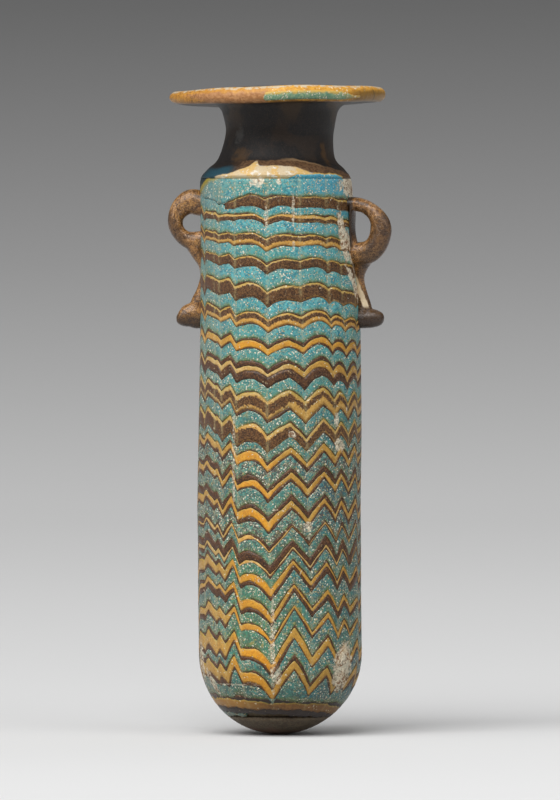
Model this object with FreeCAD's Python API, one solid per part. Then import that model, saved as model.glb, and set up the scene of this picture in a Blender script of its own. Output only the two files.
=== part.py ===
"""Core-formed glass alabastron: a hollow hand-made perfume bottle with a wide rim disc and two lug handles.

Units are millimetres. +Z runs up the bottle's axis and the origin is the lowest point of its rounded base.
The bottle's front faces -Y. An azimuth is measured round the axis from the front, positive towards +X.
Every gather of glass that the maker laid on is a solid of its own: the wall wound on the core, the
trails marvered into its skin, the rim disc and its two trails, the base disc and the two handles.
"""
import FreeCAD
import Part

import math
import os

# Body
BODY_RADIUS = 20.2  # outside, where the wall meets the hemispherical base
SHOULDER_RADIUS = 18.9  # outside, just under the shoulder
SHOULDER_HEIGHT = 136.3  # centre of the shoulder's rounding
SHOULDER_ROUND = 3.6
SHOULDER_TURN = 60.0  # degrees of that rounding before the neck's sweep takes over
WALL = 2.7  # ground glass behind the skin of trails
BASE_WALL = 3.4  # the same at the pole of the base

# Neck
NECK_LENGTH = 20.1  # from the shoulder's centre to the rim disc's underside
NECK_WAIST_RADIUS = 13.4
NECK_WAIST_DROP = 7.4  # of the waist below the rim disc
NECK_FLARE_ROUND = 11.5  # radius of the sweep from the waist up to the rim disc
NECK_FOOT_PULL = 5.6  # how far the waist's straight run carries down into the shoulder
SHOULDER_PULL = 3.4  # how far the shoulder's slope carries up into the neck
BORE_RADIUS = 9.0
BORE_LENGTH = 14.4  # of the straight bore below the rim disc
CAVITY_SWEEP = 4.0  # pull of the curve between bore and cavity

# Rim
RIM_RADIUS = 26.6  # outside the rim's trail
RIM_THICKNESS = 3.6
MOUTH_ROUND = 1.7
RIM_TRAIL_REACH = 0.5  # how far the trail stands out of the disc's edge
RIM_TRAIL_DROP = 0.2  # how far the trail stays under the disc's top and over its underside
RIM_PATCH_FROM = -7.0  # azimuths between which a second trail shows in the rim's edge
RIM_PATCH_TO = 50.0
RIM_PATCH_HEIGHT = 2.2  # of that second trail, from the rim's underside

# Skin of trails, wound as four threads side by side: brown, yellow, brown and turquoise
SKIN = 0.8
SEAT = 0.04  # clearance between a skin and the glass behind it
DOME_SEAT = 0.16  # the same at the rounded base, where each thread is flat across
SKIN_RISE = 1.3  # of the skin's top edge over the shoulder's centre
BASE_DISC_HEIGHT = 4.4  # the base disc's edge, where the lowest turn starts
TRAIL_TURNS = 21
BROWN_SHARE = 0.11  # of the rise from one turn to the next, for each of the two brown threads
YELLOW_SHARE = 0.24
THREAD_TIP = 0.3  # height at which a thread's tapered end is cut blunt

# Combing: the tool is dragged down and up the soft trails in turn, all round the bottle
COMB_STROKES = 16  # downward drags; an upward drag falls between each two
COMB_PULL = 2.9  # half the height of a finished zigzag
COMB_START = 20.0  # depth under the skin's top edge where the pull begins to grow
COMB_GROWTH = 58.0  # depth from there to the full pull
COMB_CREST = 0.93  # sharpness of the zigzag's turns: 0 is a sine, 1 a point
COMB_AT_SHOULDER = 0.12  # share of the pull that is left at the shoulder
POINTS_PER_STROKE = 8

# Handles. The coil's stations are (angle round the eye from straight out, thickness there) and the
# tail's are (drop below the eye's centre, stand out of the body).
COIL_WIDTH = 4.0  # round the body
COIL_ROUNDING = 1.4
EYE_ROUNDING = 1.2
ROOT_DEPTH = 3.0  # how far a handle's blank runs into the body before it is trimmed to the skin
ROOT_DROP = 0.6  # how far the blank's contour falls on its way into the body

LEFT_AZIMUTH = -90.0
LEFT_EYE_DROP = 9.8  # of the eye's centre below the shoulder's centre
LEFT_EYE_RADIUS = 2.2
LEFT_EYE_STRETCH = 1.0
LEFT_STANDOFF = 0.5  # glass between the eye and the body
LEFT_COIL = ((112, 6.4), (86, 6.3), (57, 5.0), (25, 3.9), (-8, 3.5), (-40, 3.4), (-68, 3.9), (-90, 5.3))
LEFT_TAIL = ((10.2, 1.5), (13, 0.9), (15.8, 1), (19.1, 2), (21.3, 3.8))
LEFT_KNOB = ((23.0, 5.3), (24.9, 5.0), (26.4, 2.3))

RIGHT_AZIMUTH = 72.0
RIGHT_EYE_DROP = 10.9
RIGHT_EYE_RADIUS = 2.7  # across; the eye is an upright oval
RIGHT_EYE_STRETCH = 1.42  # its height over its width
RIGHT_STANDOFF = 0.5
RIGHT_COIL = ((112, 3.7), (88, 3.5), (58, 2.9), (25, 3.2), (-8, 3.5), (-40, 3.9), (-68, 4.3), (-88, 4.8))
RIGHT_TAIL = ((11.2, 3.2), (13.6, 2.5), (16, 2.9), (18.3, 4), (20, 5.3))
RIGHT_KNOB = ((21.8, 6.6), (23.8, 6.4), (25.2, 3.6))

# What follows from the sizes above
NECK_TOP = SHOULDER_HEIGHT + NECK_LENGTH  # 156.4: the rim disc's underside
RIM_TOP = NECK_TOP + RIM_THICKNESS  # 160.0: the whole bottle's height
WAIST_HEIGHT = NECK_TOP - NECK_WAIST_DROP
SKIN_TOP = SHOULDER_HEIGHT + SKIN_RISE
TURN_RISE = (SKIN_TOP - BASE_DISC_HEIGHT) / TRAIL_TURNS  # from one turn of the winding to the next

Z = FreeCAD.Vector(0, 0, 1)


def profile_point(r, z):
    """A point of a half section, in the plane that is turned round the axis."""
    return FreeCAD.Vector(r, 0, z)


def placed(azimuth, r, z):
    """The point at that azimuth, radius and height."""
    turn = math.radians(azimuth)
    return FreeCAD.Vector(r * math.sin(turn), -r * math.cos(turn), z)


def line(a, b):
    """A straight edge of a half section, from one (r, z) pair to another."""
    return Part.LineSegment(profile_point(*a), profile_point(*b)).toShape()


def arc(a, middle, b):
    """A round edge of a half section, through three (r, z) pairs."""
    return Part.Arc(profile_point(*a), profile_point(*middle), profile_point(*b)).toShape()


def sweep(a, pull_a, pull_b, b):
    """A cubic curve of a half section from a to b, leaving and arriving along its two middle poles."""
    curve = Part.BezierCurve()
    curve.setPoles([profile_point(*p) for p in (a, pull_a, pull_b, b)])
    return curve.toShape()


def facing_out(solid):
    """The solid with its faces turned outward."""
    if solid.Volume < 0:
        solid.reverse()
    return solid


def turned(edges, degrees=360.0):
    """The solid that a closed half section makes when it is turned round the axis."""
    face = Part.Face(Part.Wire(edges))
    return facing_out(face.revolve(FreeCAD.Vector(), Z, degrees))


def body_section(z, depth):
    """The (r, z) pair under the skin's outer surface at height z, that deep into the glass."""
    if z < BODY_RADIUS:
        reach = math.sqrt(max(BODY_RADIUS ** 2 - (BODY_RADIUS - z) ** 2, 0.0))
        inward = (BODY_RADIUS - depth) / BODY_RADIUS
        return reach * inward, BODY_RADIUS + (z - BODY_RADIUS) * inward
    if z > SHOULDER_HEIGHT:
        centre = SHOULDER_RADIUS - SHOULDER_ROUND
        rise = min(z - SHOULDER_HEIGHT, SHOULDER_ROUND)
        inward = (SHOULDER_ROUND - depth) / SHOULDER_ROUND
        reach = math.sqrt(SHOULDER_ROUND ** 2 - rise ** 2)
        return centre + reach * inward, SHOULDER_HEIGHT + rise * inward
    share = (z - BODY_RADIUS) / (SHOULDER_HEIGHT - BODY_RADIUS)
    return BODY_RADIUS + (SHOULDER_RADIUS - BODY_RADIUS) * share - depth, z


def on_shoulder(angle, depth=0.0):
    """The (r, z) pair on the shoulder's rounding at that angle above level."""
    reach = SHOULDER_ROUND - depth
    turn = math.radians(angle)
    centre = SHOULDER_RADIUS - SHOULDER_ROUND
    return centre + reach * math.cos(turn), SHOULDER_HEIGHT + reach * math.sin(turn)


def on_base(angle, depth=0.0):
    """The (r, z) pair on the hemispherical base at that angle below level."""
    reach = BODY_RADIUS - depth
    turn = math.radians(angle)
    return reach * math.cos(turn), BODY_RADIUS - reach * math.sin(turn)


def neck_outline():
    """The neck's outside, from the rim disc's underside down to the shoulder's rounding."""
    turn = math.asin((NECK_TOP - WAIST_HEIGHT) / NECK_FLARE_ROUND)

    def on_flare(angle):
        r = NECK_WAIST_RADIUS + NECK_FLARE_ROUND * (1 - math.cos(angle))
        return r, WAIST_HEIGHT + NECK_FLARE_ROUND * math.sin(angle)

    waist = (NECK_WAIST_RADIUS, WAIST_HEIGHT)
    shoulder = on_shoulder(SHOULDER_TURN)
    slope = math.radians(SHOULDER_TURN)
    pull = (shoulder[0] - SHOULDER_PULL * math.sin(slope), shoulder[1] + SHOULDER_PULL * math.cos(slope))
    return [
        line((BORE_RADIUS, NECK_TOP), on_flare(turn)),
        arc(on_flare(turn), on_flare(turn / 2), waist),
        sweep(waist, (waist[0], waist[1] - NECK_FOOT_PULL), pull, shoulder),
    ]


def skin_seat():
    """The step and the smooth seat that the skin of trails lies in, from the shoulder down to the pole."""
    under = SKIN + SEAT
    under_dome = SKIN + DOME_SEAT
    head = math.degrees(math.asin(SKIN_RISE / SHOULDER_ROUND))
    return [
        arc(on_shoulder(SHOULDER_TURN), on_shoulder((SHOULDER_TURN + head) / 2), on_shoulder(head)),
        line(on_shoulder(head), on_shoulder(head, under)),
        arc(on_shoulder(head, under), on_shoulder(head / 2, under), on_shoulder(0, under)),
        line(on_shoulder(0, under), on_base(0, under_dome)),
        arc(on_base(0, under_dome), on_base(45, under_dome), (0.0, under_dome)),
    ]


def cavity_outline():
    """The inside that the core left: a round floor, an even wall, and the sweep in to the straight bore."""
    depth = SKIN + WALL
    head = (SHOULDER_RADIUS - depth, SHOULDER_HEIGHT - depth)
    foot = (BODY_RADIUS - depth, BODY_RADIUS)
    pole = (0.0, SKIN + BASE_WALL)
    rise = foot[1] - pole[1]
    radius = (foot[0] ** 2 + rise ** 2) / (2 * rise)
    turn = math.asin(foot[0] / radius) / 2
    bore_foot = (BORE_RADIUS, NECK_TOP - BORE_LENGTH)
    return [
        arc(pole, (radius * math.sin(turn), pole[1] + radius * (1 - math.cos(turn))), foot),
        line(foot, head),
        sweep(head, (head[0], head[1] + CAVITY_SWEEP),
              (bore_foot[0], bore_foot[1] - CAVITY_SWEEP), bore_foot),
        line(bore_foot, (BORE_RADIUS, NECK_TOP)),
    ]


def vessel_wall():
    """The wall wound on the core: neck, shoulder, body and base, hollow, with its straight bore."""
    pole = line((0.0, SKIN + DOME_SEAT), (0.0, SKIN + BASE_WALL))
    return turned(neck_outline() + skin_seat() + [pole] + cavity_outline())


def comb_drag(azimuth, laid):
    """How far up the comb has pulled a trail that was laid level at that height."""
    stroke = math.radians(azimuth) * COMB_STROKES
    crest = math.asin(COMB_CREST * math.sin(stroke)) / math.asin(COMB_CREST)
    growth = min(max((SKIN_TOP - COMB_START - laid) / COMB_GROWTH, 0.0), 1.0)
    pull = COMB_PULL * (COMB_AT_SHOULDER + (1.0 - COMB_AT_SHOULDER) * growth)
    ends = min(1.0, (SKIN_TOP - laid) / COMB_PULL, (laid - BASE_DISC_HEIGHT) / (2.0 * COMB_PULL))
    return pull * crest * ends


def laid_height(offset, angle):
    """The height at which a boundary was laid, at a wound angle; offset is the turns that it starts up."""
    laid = BASE_DISC_HEIGHT + TURN_RISE * (offset + angle / 360.0)
    return min(max(laid, BASE_DISC_HEIGHT), SKIN_TOP)


def thread_point(offset, depth, angle):
    """The corner of a thread's section at a wound angle. The winding climbs to the left."""
    laid = laid_height(offset, angle)
    r, z = body_section(laid + comb_drag(angle, laid), depth)
    return placed(-angle, r, z)


def trail_edge(offset, depth, start, end):
    """The combed edge of a thread between two wound angles, on the skin's outer or inner face."""
    count = max(2, math.ceil((end - start) / 360.0 * COMB_STROKES * POINTS_PER_STROKE))
    points = []
    for step in range(count + 1):
        points.append(thread_point(offset, depth, start + (end - start) * step / count))
    curve = Part.BSplineCurve()
    curve.interpolate(Points=points)
    return curve.toShape()


def thread(foot, head):
    """One thread of glass from the base disc to the shoulder, marvered into the skin; its ends are tapered.

    foot and head are its lower and upper boundaries, as shares of the rise from one turn to the next.
    """
    blunt = 360.0 * THREAD_TIP / TURN_RISE
    start = -360.0 * head + blunt
    end = 360.0 * (TRAIL_TURNS - foot) - blunt
    halves = [180.0 * half - 360.0 * foot for half in range(2 * TRAIL_TURNS)]
    stops = [start] + [stop for stop in halves if stop < 360.0 * (TRAIL_TURNS - head)]
    stops += [360.0 * (TRAIL_TURNS - head), end]
    corners = [(foot, 0.0), (head, 0.0), (head, SKIN), (foot, SKIN)]
    faces = []
    for a, b in zip(stops, stops[1:]):
        edges = [trail_edge(offset, depth, a, b) for offset, depth in corners]
        faces += [Part.makeRuledSurface(edges[k], edges[(k + 1) % 4]) for k in range(4)]
    for angle in (start, end):
        tips = [thread_point(offset, depth, angle) for offset, depth in corners]
        sides = [Part.LineSegment(tips[k], tips[k + 1]).toShape() for k in range(3)]
        faces.append(Part.makeRuledSurface(sides[0], sides[2]))
    shell = Part.Shell(faces)
    shell.sewShape()
    return facing_out(Part.Solid(shell))


def least_gap(foot, head):
    """The least height between two neighbouring turns of one thread, all the way up the winding."""
    gaps = []
    for angle in range(int(360 * (TRAIL_TURNS - foot - 1))):
        upper = laid_height(foot, angle + 360)
        lower = laid_height(head, angle)
        gaps.append(upper + comb_drag(angle, upper) - lower - comb_drag(angle, lower))
    return min(gaps)


def trails():
    """The turquoise, yellow and brown threads, which lie side by side all the way up the body."""
    bounds = [0.0, BROWN_SHARE, BROWN_SHARE + YELLOW_SHARE, 2 * BROWN_SHARE + YELLOW_SHARE, 1.0]
    pairs = list(zip(bounds, bounds[1:]))
    print(f"least gap between a thread's turns: {min(least_gap(a, b) for a, b in pairs):.2f} mm")
    lower_brown, yellow, upper_brown, turquoise = [thread(a, b) for a, b in pairs]
    return turquoise, yellow, lower_brown, upper_brown


def base_disc():
    """The cap of glass at the pole of the base, where the winding of the trails began."""
    edge = math.degrees(math.asin((BODY_RADIUS - BASE_DISC_HEIGHT) / BODY_RADIUS))
    half = (edge + 90.0) / 2
    return turned([
        line((0.0, 0.0), (0.0, SKIN)),
        arc((0.0, SKIN), on_base(half, SKIN), on_base(edge, SKIN)),
        line(on_base(edge, SKIN), on_base(edge)),
        arc(on_base(edge), on_base(half), (0.0, 0.0)),
    ])


def rim_disc():
    """The broad flat disc that was wound onto the neck's top, with a rounded mouth and a rounded edge."""
    middle = NECK_TOP + RIM_THICKNESS / 2
    edge = RIM_RADIUS - RIM_TRAIL_REACH
    flat = edge - RIM_THICKNESS / 2
    corner = MOUTH_ROUND * (1 - math.sqrt(0.5))
    return turned([
        line((BORE_RADIUS, NECK_TOP), (flat, NECK_TOP)),
        arc((flat, NECK_TOP), (edge, middle), (flat, RIM_TOP)),
        line((flat, RIM_TOP), (BORE_RADIUS + MOUTH_ROUND, RIM_TOP)),
        arc((BORE_RADIUS + MOUTH_ROUND, RIM_TOP), (BORE_RADIUS + corner, RIM_TOP - corner),
            (BORE_RADIUS, RIM_TOP - MOUTH_ROUND)),
        line((BORE_RADIUS, RIM_TOP - MOUTH_ROUND), (BORE_RADIUS, NECK_TOP)),
    ])


def rim_trails(disc):
    """The trail that is drawn round the rim's edge, and the short second trail that shows through it."""
    half = RIM_THICKNESS / 2 - RIM_TRAIL_DROP
    ring = Part.makeTorus(RIM_RADIUS - half, half, FreeCAD.Vector(0, 0, NECK_TOP + RIM_THICKNESS / 2), Z)
    crescent = ring.cut(disc)
    inside = RIM_RADIUS - RIM_THICKNESS
    outside = RIM_RADIUS + RIM_THICKNESS
    head = NECK_TOP + RIM_PATCH_HEIGHT
    block = turned([
        line((inside, NECK_TOP), (outside, NECK_TOP)),
        line((outside, NECK_TOP), (outside, head)),
        line((outside, head), (inside, head)),
        line((inside, head), (inside, NECK_TOP)),
    ], RIM_PATCH_TO - RIM_PATCH_FROM)
    block.rotate(FreeCAD.Vector(), Z, RIM_PATCH_FROM - 90.0)
    return crescent.cut(block), crescent.common(block)


def eye_point(eye, radius, stretch, angle, out):
    """The point that lies out from the eye's edge, square to it, at that angle round the oval."""
    turn = math.radians(angle)
    edge = FreeCAD.Vector(radius * math.cos(turn), 0, radius * stretch * math.sin(turn))
    across = FreeCAD.Vector(math.cos(turn), 0, math.sin(turn) / stretch)
    across.normalize()
    return eye + edge + across * out


def handle(azimuth, eye_drop, radius, stretch, standoff, coil, tail, body):
    """One lug handle, made as a single coil: loop, tail and knob, trimmed to the skin that carries it."""
    eye_height = SHOULDER_HEIGHT - eye_drop
    wall, _ = body_section(eye_height, 0.0)
    inside = wall - ROOT_DEPTH
    eye = FreeCAD.Vector(wall + standoff + radius, -COIL_WIDTH / 2, eye_height)
    points = [eye_point(eye, radius, stretch, angle, thickness) for angle, thickness in coil]
    for drop, stand in tail:
        wall, _ = body_section(eye_height - drop, 0.0)
        points.append(FreeCAD.Vector(wall + stand, eye.y, eye_height - drop))
    upper = FreeCAD.Vector(inside, eye.y, points[0].z - ROOT_DROP)
    lower = FreeCAD.Vector(inside, eye.y, points[-1].z - ROOT_DROP)
    contour = Part.BSplineCurve()
    contour.interpolate(Points=[upper] + points + [lower])
    outline = Part.Wire([contour.toShape(), Part.LineSegment(lower, upper).toShape()])
    across = FreeCAD.Vector(0, COIL_WIDTH, 0)
    glass = Part.Face(outline).extrude(across)
    oval = eye_wire(eye, radius, stretch)
    glass = glass.cut(Part.Face(oval).extrude(across))
    glass = rounded(glass, contour.length(), COIL_ROUNDING)
    glass = rounded(glass, oval.Length, EYE_ROUNDING)
    glass = glass.cut(body)
    glass.rotate(FreeCAD.Vector(), Z, azimuth - 90.0)
    return glass


def eye_wire(eye, radius, stretch):
    """The eye's outline, a circle or an upright oval."""
    across = FreeCAD.Vector(0, 1, 0)
    if stretch == 1.0:
        return Part.Wire(Part.makeCircle(radius, eye, across))
    along = FreeCAD.Vector(0, 0, radius * stretch)
    oval = Part.Ellipse(eye + along, eye + FreeCAD.Vector(radius, 0, 0), eye)
    return Part.Wire(oval.toShape())


def rounded(solid, length, radius):
    """The solid with its edges of that length rounded; each is one outline seen from the handle's side."""
    edges = [edge for edge in solid.Edges if abs(edge.Length - length) < 0.01 * length]
    return solid.makeFillet(radius, edges)


def skin_solid():
    """The whole bottle out to the trails' smooth outer surface, used to trim what is laid on it."""
    head = on_shoulder(SHOULDER_TURN, -SEAT)
    pole = (0.0, -SEAT)
    return turned([
        line((0.0, head[1]), head),
        arc(head, on_shoulder(SHOULDER_TURN / 2, -SEAT), on_shoulder(0, -SEAT)),
        line(on_shoulder(0, -SEAT), on_base(0, -SEAT)),
        arc(on_base(0, -SEAT), on_base(45, -SEAT), pole),
        line(pole, (0.0, head[1])),
    ])


def main():
    """Builds every piece and writes each to its own file."""
    os.makedirs("parts", exist_ok=True)
    turquoise, yellow, lower_brown, upper_brown = trails()
    disc = rim_disc()
    rim_yellow, rim_turquoise = rim_trails(disc)
    body = skin_solid()
    pieces = {
        "vessel_wall": vessel_wall(),
        "turquoise_trail": turquoise,
        "yellow_trail": yellow,
        "brown_trail_lower": lower_brown,
        "brown_trail_upper": upper_brown,
        "base_disc": base_disc(),
        "rim_disc": disc,
        "rim_yellow_trail": rim_yellow,
        "rim_turquoise_trail": rim_turquoise,
        "handle_left": handle(LEFT_AZIMUTH, LEFT_EYE_DROP, LEFT_EYE_RADIUS, LEFT_EYE_STRETCH, LEFT_STANDOFF,
                              LEFT_COIL, LEFT_TAIL + LEFT_KNOB, body),
        "handle_right": handle(RIGHT_AZIMUTH, RIGHT_EYE_DROP, RIGHT_EYE_RADIUS, RIGHT_EYE_STRETCH,
                               RIGHT_STANDOFF, RIGHT_COIL, RIGHT_TAIL + RIGHT_KNOB, body),
    }
    for name, shape in pieces.items():
        volume = sum(solid.Volume for solid in shape.Solids)
        print(f"{name}: {len(shape.Solids)} solid, valid {shape.isValid()}, {volume:.1f} mm3")
        shape.exportStep(f"parts/{name}.step")


main()
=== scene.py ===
"""Looks of a core-formed glass alabastron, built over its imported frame.

Every length is in millimetres until a mesh is handed over in metres. Z runs up from the foot and
the front faces -Y. Azimuths are degrees round the axis, 0 at the front and growing to the right.
"""

import functools
import logging
import math
from dataclasses import dataclass, field, replace
from enum import Enum
from typing import Callable, Optional, Sequence, Union

import bmesh
import bpy
import numpy as np
from mathutils import Matrix, Vector


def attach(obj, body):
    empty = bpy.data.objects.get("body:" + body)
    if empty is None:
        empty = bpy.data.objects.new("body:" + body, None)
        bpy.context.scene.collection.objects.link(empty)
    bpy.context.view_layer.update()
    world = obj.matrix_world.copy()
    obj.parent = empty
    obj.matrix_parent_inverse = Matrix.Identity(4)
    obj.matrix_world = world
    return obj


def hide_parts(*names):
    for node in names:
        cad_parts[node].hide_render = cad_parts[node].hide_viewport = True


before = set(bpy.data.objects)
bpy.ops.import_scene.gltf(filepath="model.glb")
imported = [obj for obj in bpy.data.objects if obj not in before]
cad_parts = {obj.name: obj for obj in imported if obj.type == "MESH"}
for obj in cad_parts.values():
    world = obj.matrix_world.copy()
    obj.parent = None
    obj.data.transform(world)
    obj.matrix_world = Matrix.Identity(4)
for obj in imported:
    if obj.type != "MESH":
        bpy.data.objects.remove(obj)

log = logging.getLogger("alabastron")

MM = 0.001
Array = np.ndarray
Colour = tuple[float, float, float, float]
Value = Union["Field", float, Sequence[float]]
Shade = Union["Field", tuple[int, int, int]]
Fields = dict[str, "Field"]
Feeds = dict[Union[int, str], Value]
Entry = tuple["Graph", Fields, bpy.types.Node]

# How the photograph was read: its frame, its scale and where the camera stood
PHOTO_WIDTH = 560
PHOTO_HEIGHT = 800
MM_PER_PIXEL = 0.2477
FOOT_ROW = 734
AXIS_COLUMN = 279.75
CAMERA_DISTANCE = 1400.0
EYE_HEIGHT = (FOOT_ROW - PHOTO_HEIGHT / 2) * MM_PER_PIXEL
FIRST_AZIMUTH = -20.0  # the column on which every thread's height was read


def tint(red: int, green: int, blue: int) -> Colour:
    """A colour written as it shows on a screen, as the linear colour that shaders take.

    Args:
        red: the red channel, 0 to 255.
        green: the green channel, 0 to 255.
        blue: the blue channel, 0 to 255.

    Returns:
        The linear colour with full alpha.
    """
    channels = [c / 255 for c in (red, green, blue)]
    linear = [c / 12.92 if c <= 0.04045 else ((c + 0.055) / 1.055) ** 2.4 for c in channels]
    return (linear[0], linear[1], linear[2], 1.0)


# ---------------------------------------------------------------- shape of the body


@dataclass(frozen=True)
class BodyShape:
    """The bottle's outer skin: a round base, a slightly tapering body and a rounded shoulder."""

    radius: float = 20.2
    dome: float = 20.2
    taper_from: float = 56.0
    taper_over: float = 80.0
    taper: float = 1.35
    shoulder_height: float = 136.3
    shoulder_round: float = 3.6
    skin: float = 0.8
    skin_top: float = 137.6
    skin_foot: float = 4.4
    # the unevenness, as waves of (depth, number round the axis, height for a radian, phase)
    waves: tuple[tuple[float, int, float, float], ...] = (
        (0.05, 2, 17.0, 0.0), (0.04, 5, -9.0, 1.3), (0.03, 3, 5.5, 0.4), (0.025, 9, 4.2, 2.1),
    )
    furrow: float = 0.16  # how deep a stroke that drew down still is
    furrow_wide: float = 2.6
    # the axis wanders, as (height, shift to the right)
    lean: tuple[tuple[float, float], ...] = (
        (0, -0.2), (12, 0.05), (30, 0.1), (56, -0.22), (83, 0.1), (100, 0.2), (117, -0.25),
        (132, -0.8), (138, -0.95), (143, -0.7), (150, 0.1), (156, 0.0), (160, -0.6),
    )

    def shift(self, height: Array) -> Array:
        """How far the axis stands to the right at each height."""
        spots = np.array(self.lean)
        return np.interp(height, spots[:, 0], spots[:, 1])

    def wall(self, height: Array) -> Array:
        """The skin's radius at each height."""
        above = np.clip((height - self.taper_from) / self.taper_over, 0, None)
        side = self.radius - self.taper * above**2
        low = np.clip(height, 0, self.dome)
        dome = np.sqrt(np.clip(self.dome**2 - (self.dome - low) ** 2, 0, None))
        rise = np.clip(height - self.shoulder_height, 0, self.shoulder_round)
        head = np.sqrt(self.shoulder_round**2 - rise**2) - self.shoulder_round
        return np.where(height < self.dome, dome, side + head)

    def slope(self, height: Array) -> tuple[Array, Array]:
        """The outward and upward parts of the skin's normal at each height."""
        up = np.clip((height - self.dome) / self.dome, -1, 0)
        up = up + np.clip((height - self.shoulder_height) / self.shoulder_round, 0, 1)
        return np.sqrt(np.clip(1 - up**2, 0, 1)), up

    def relief(self, azimuth: Array, height: Array) -> Array:
        """The slow unevenness that the glass kept from rolling and combing, up to about 0.15 mm."""
        turn = np.radians(azimuth)
        uneven = sum(d * np.sin(n * turn + height / h + phase) for d, n, h, phase in self.waves)
        combed = ramp(height, 8, 16) * ramp(height, 137, 131)
        return uneven - self.furrow * combed * COMBING.nearness(azimuth, height, self.furrow_wide)

    def point(self, azimuth: Array, height: Array, depth: Array) -> Array:
        """Places of points that lie under the skin.

        Args:
            azimuth: degrees round the axis.
            height: heights on the skin's outside.
            depth: how far the points lie below the skin, square to it.

        Returns:
            One row of x, y and z for each point.
        """
        out, up = self.slope(height)
        reach = self.wall(height) - depth * out
        turn = np.radians(azimuth)
        return np.stack(
            [
                reach * np.sin(turn) + self.shift(height),
                -reach * np.cos(turn),
                height - depth * up,
            ],
            axis=1,
        )


BODY = BodyShape()


# ---------------------------------------------------------------- combing


class Cusp(Enum):
    """Which way a comb stroke drew the threads."""

    DOWN = "down"
    UP = "up"


@dataclass(frozen=True)
class Stroke:
    """One line up the body along which the threads were dragged.

    Its azimuth is given high, half-way and low on the body, and its drag at the heights of
    Combing.heights, downwards positive. Roundness is 0 for a sharp turn of the threads at the
    stroke and 1 for an arch, high and low on the body.
    """

    cusp: Cusp
    azimuths: tuple[float, float, float]
    drags: tuple[float, ...]
    roundness: tuple[float, float] = (0.0, 0.0)


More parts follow.
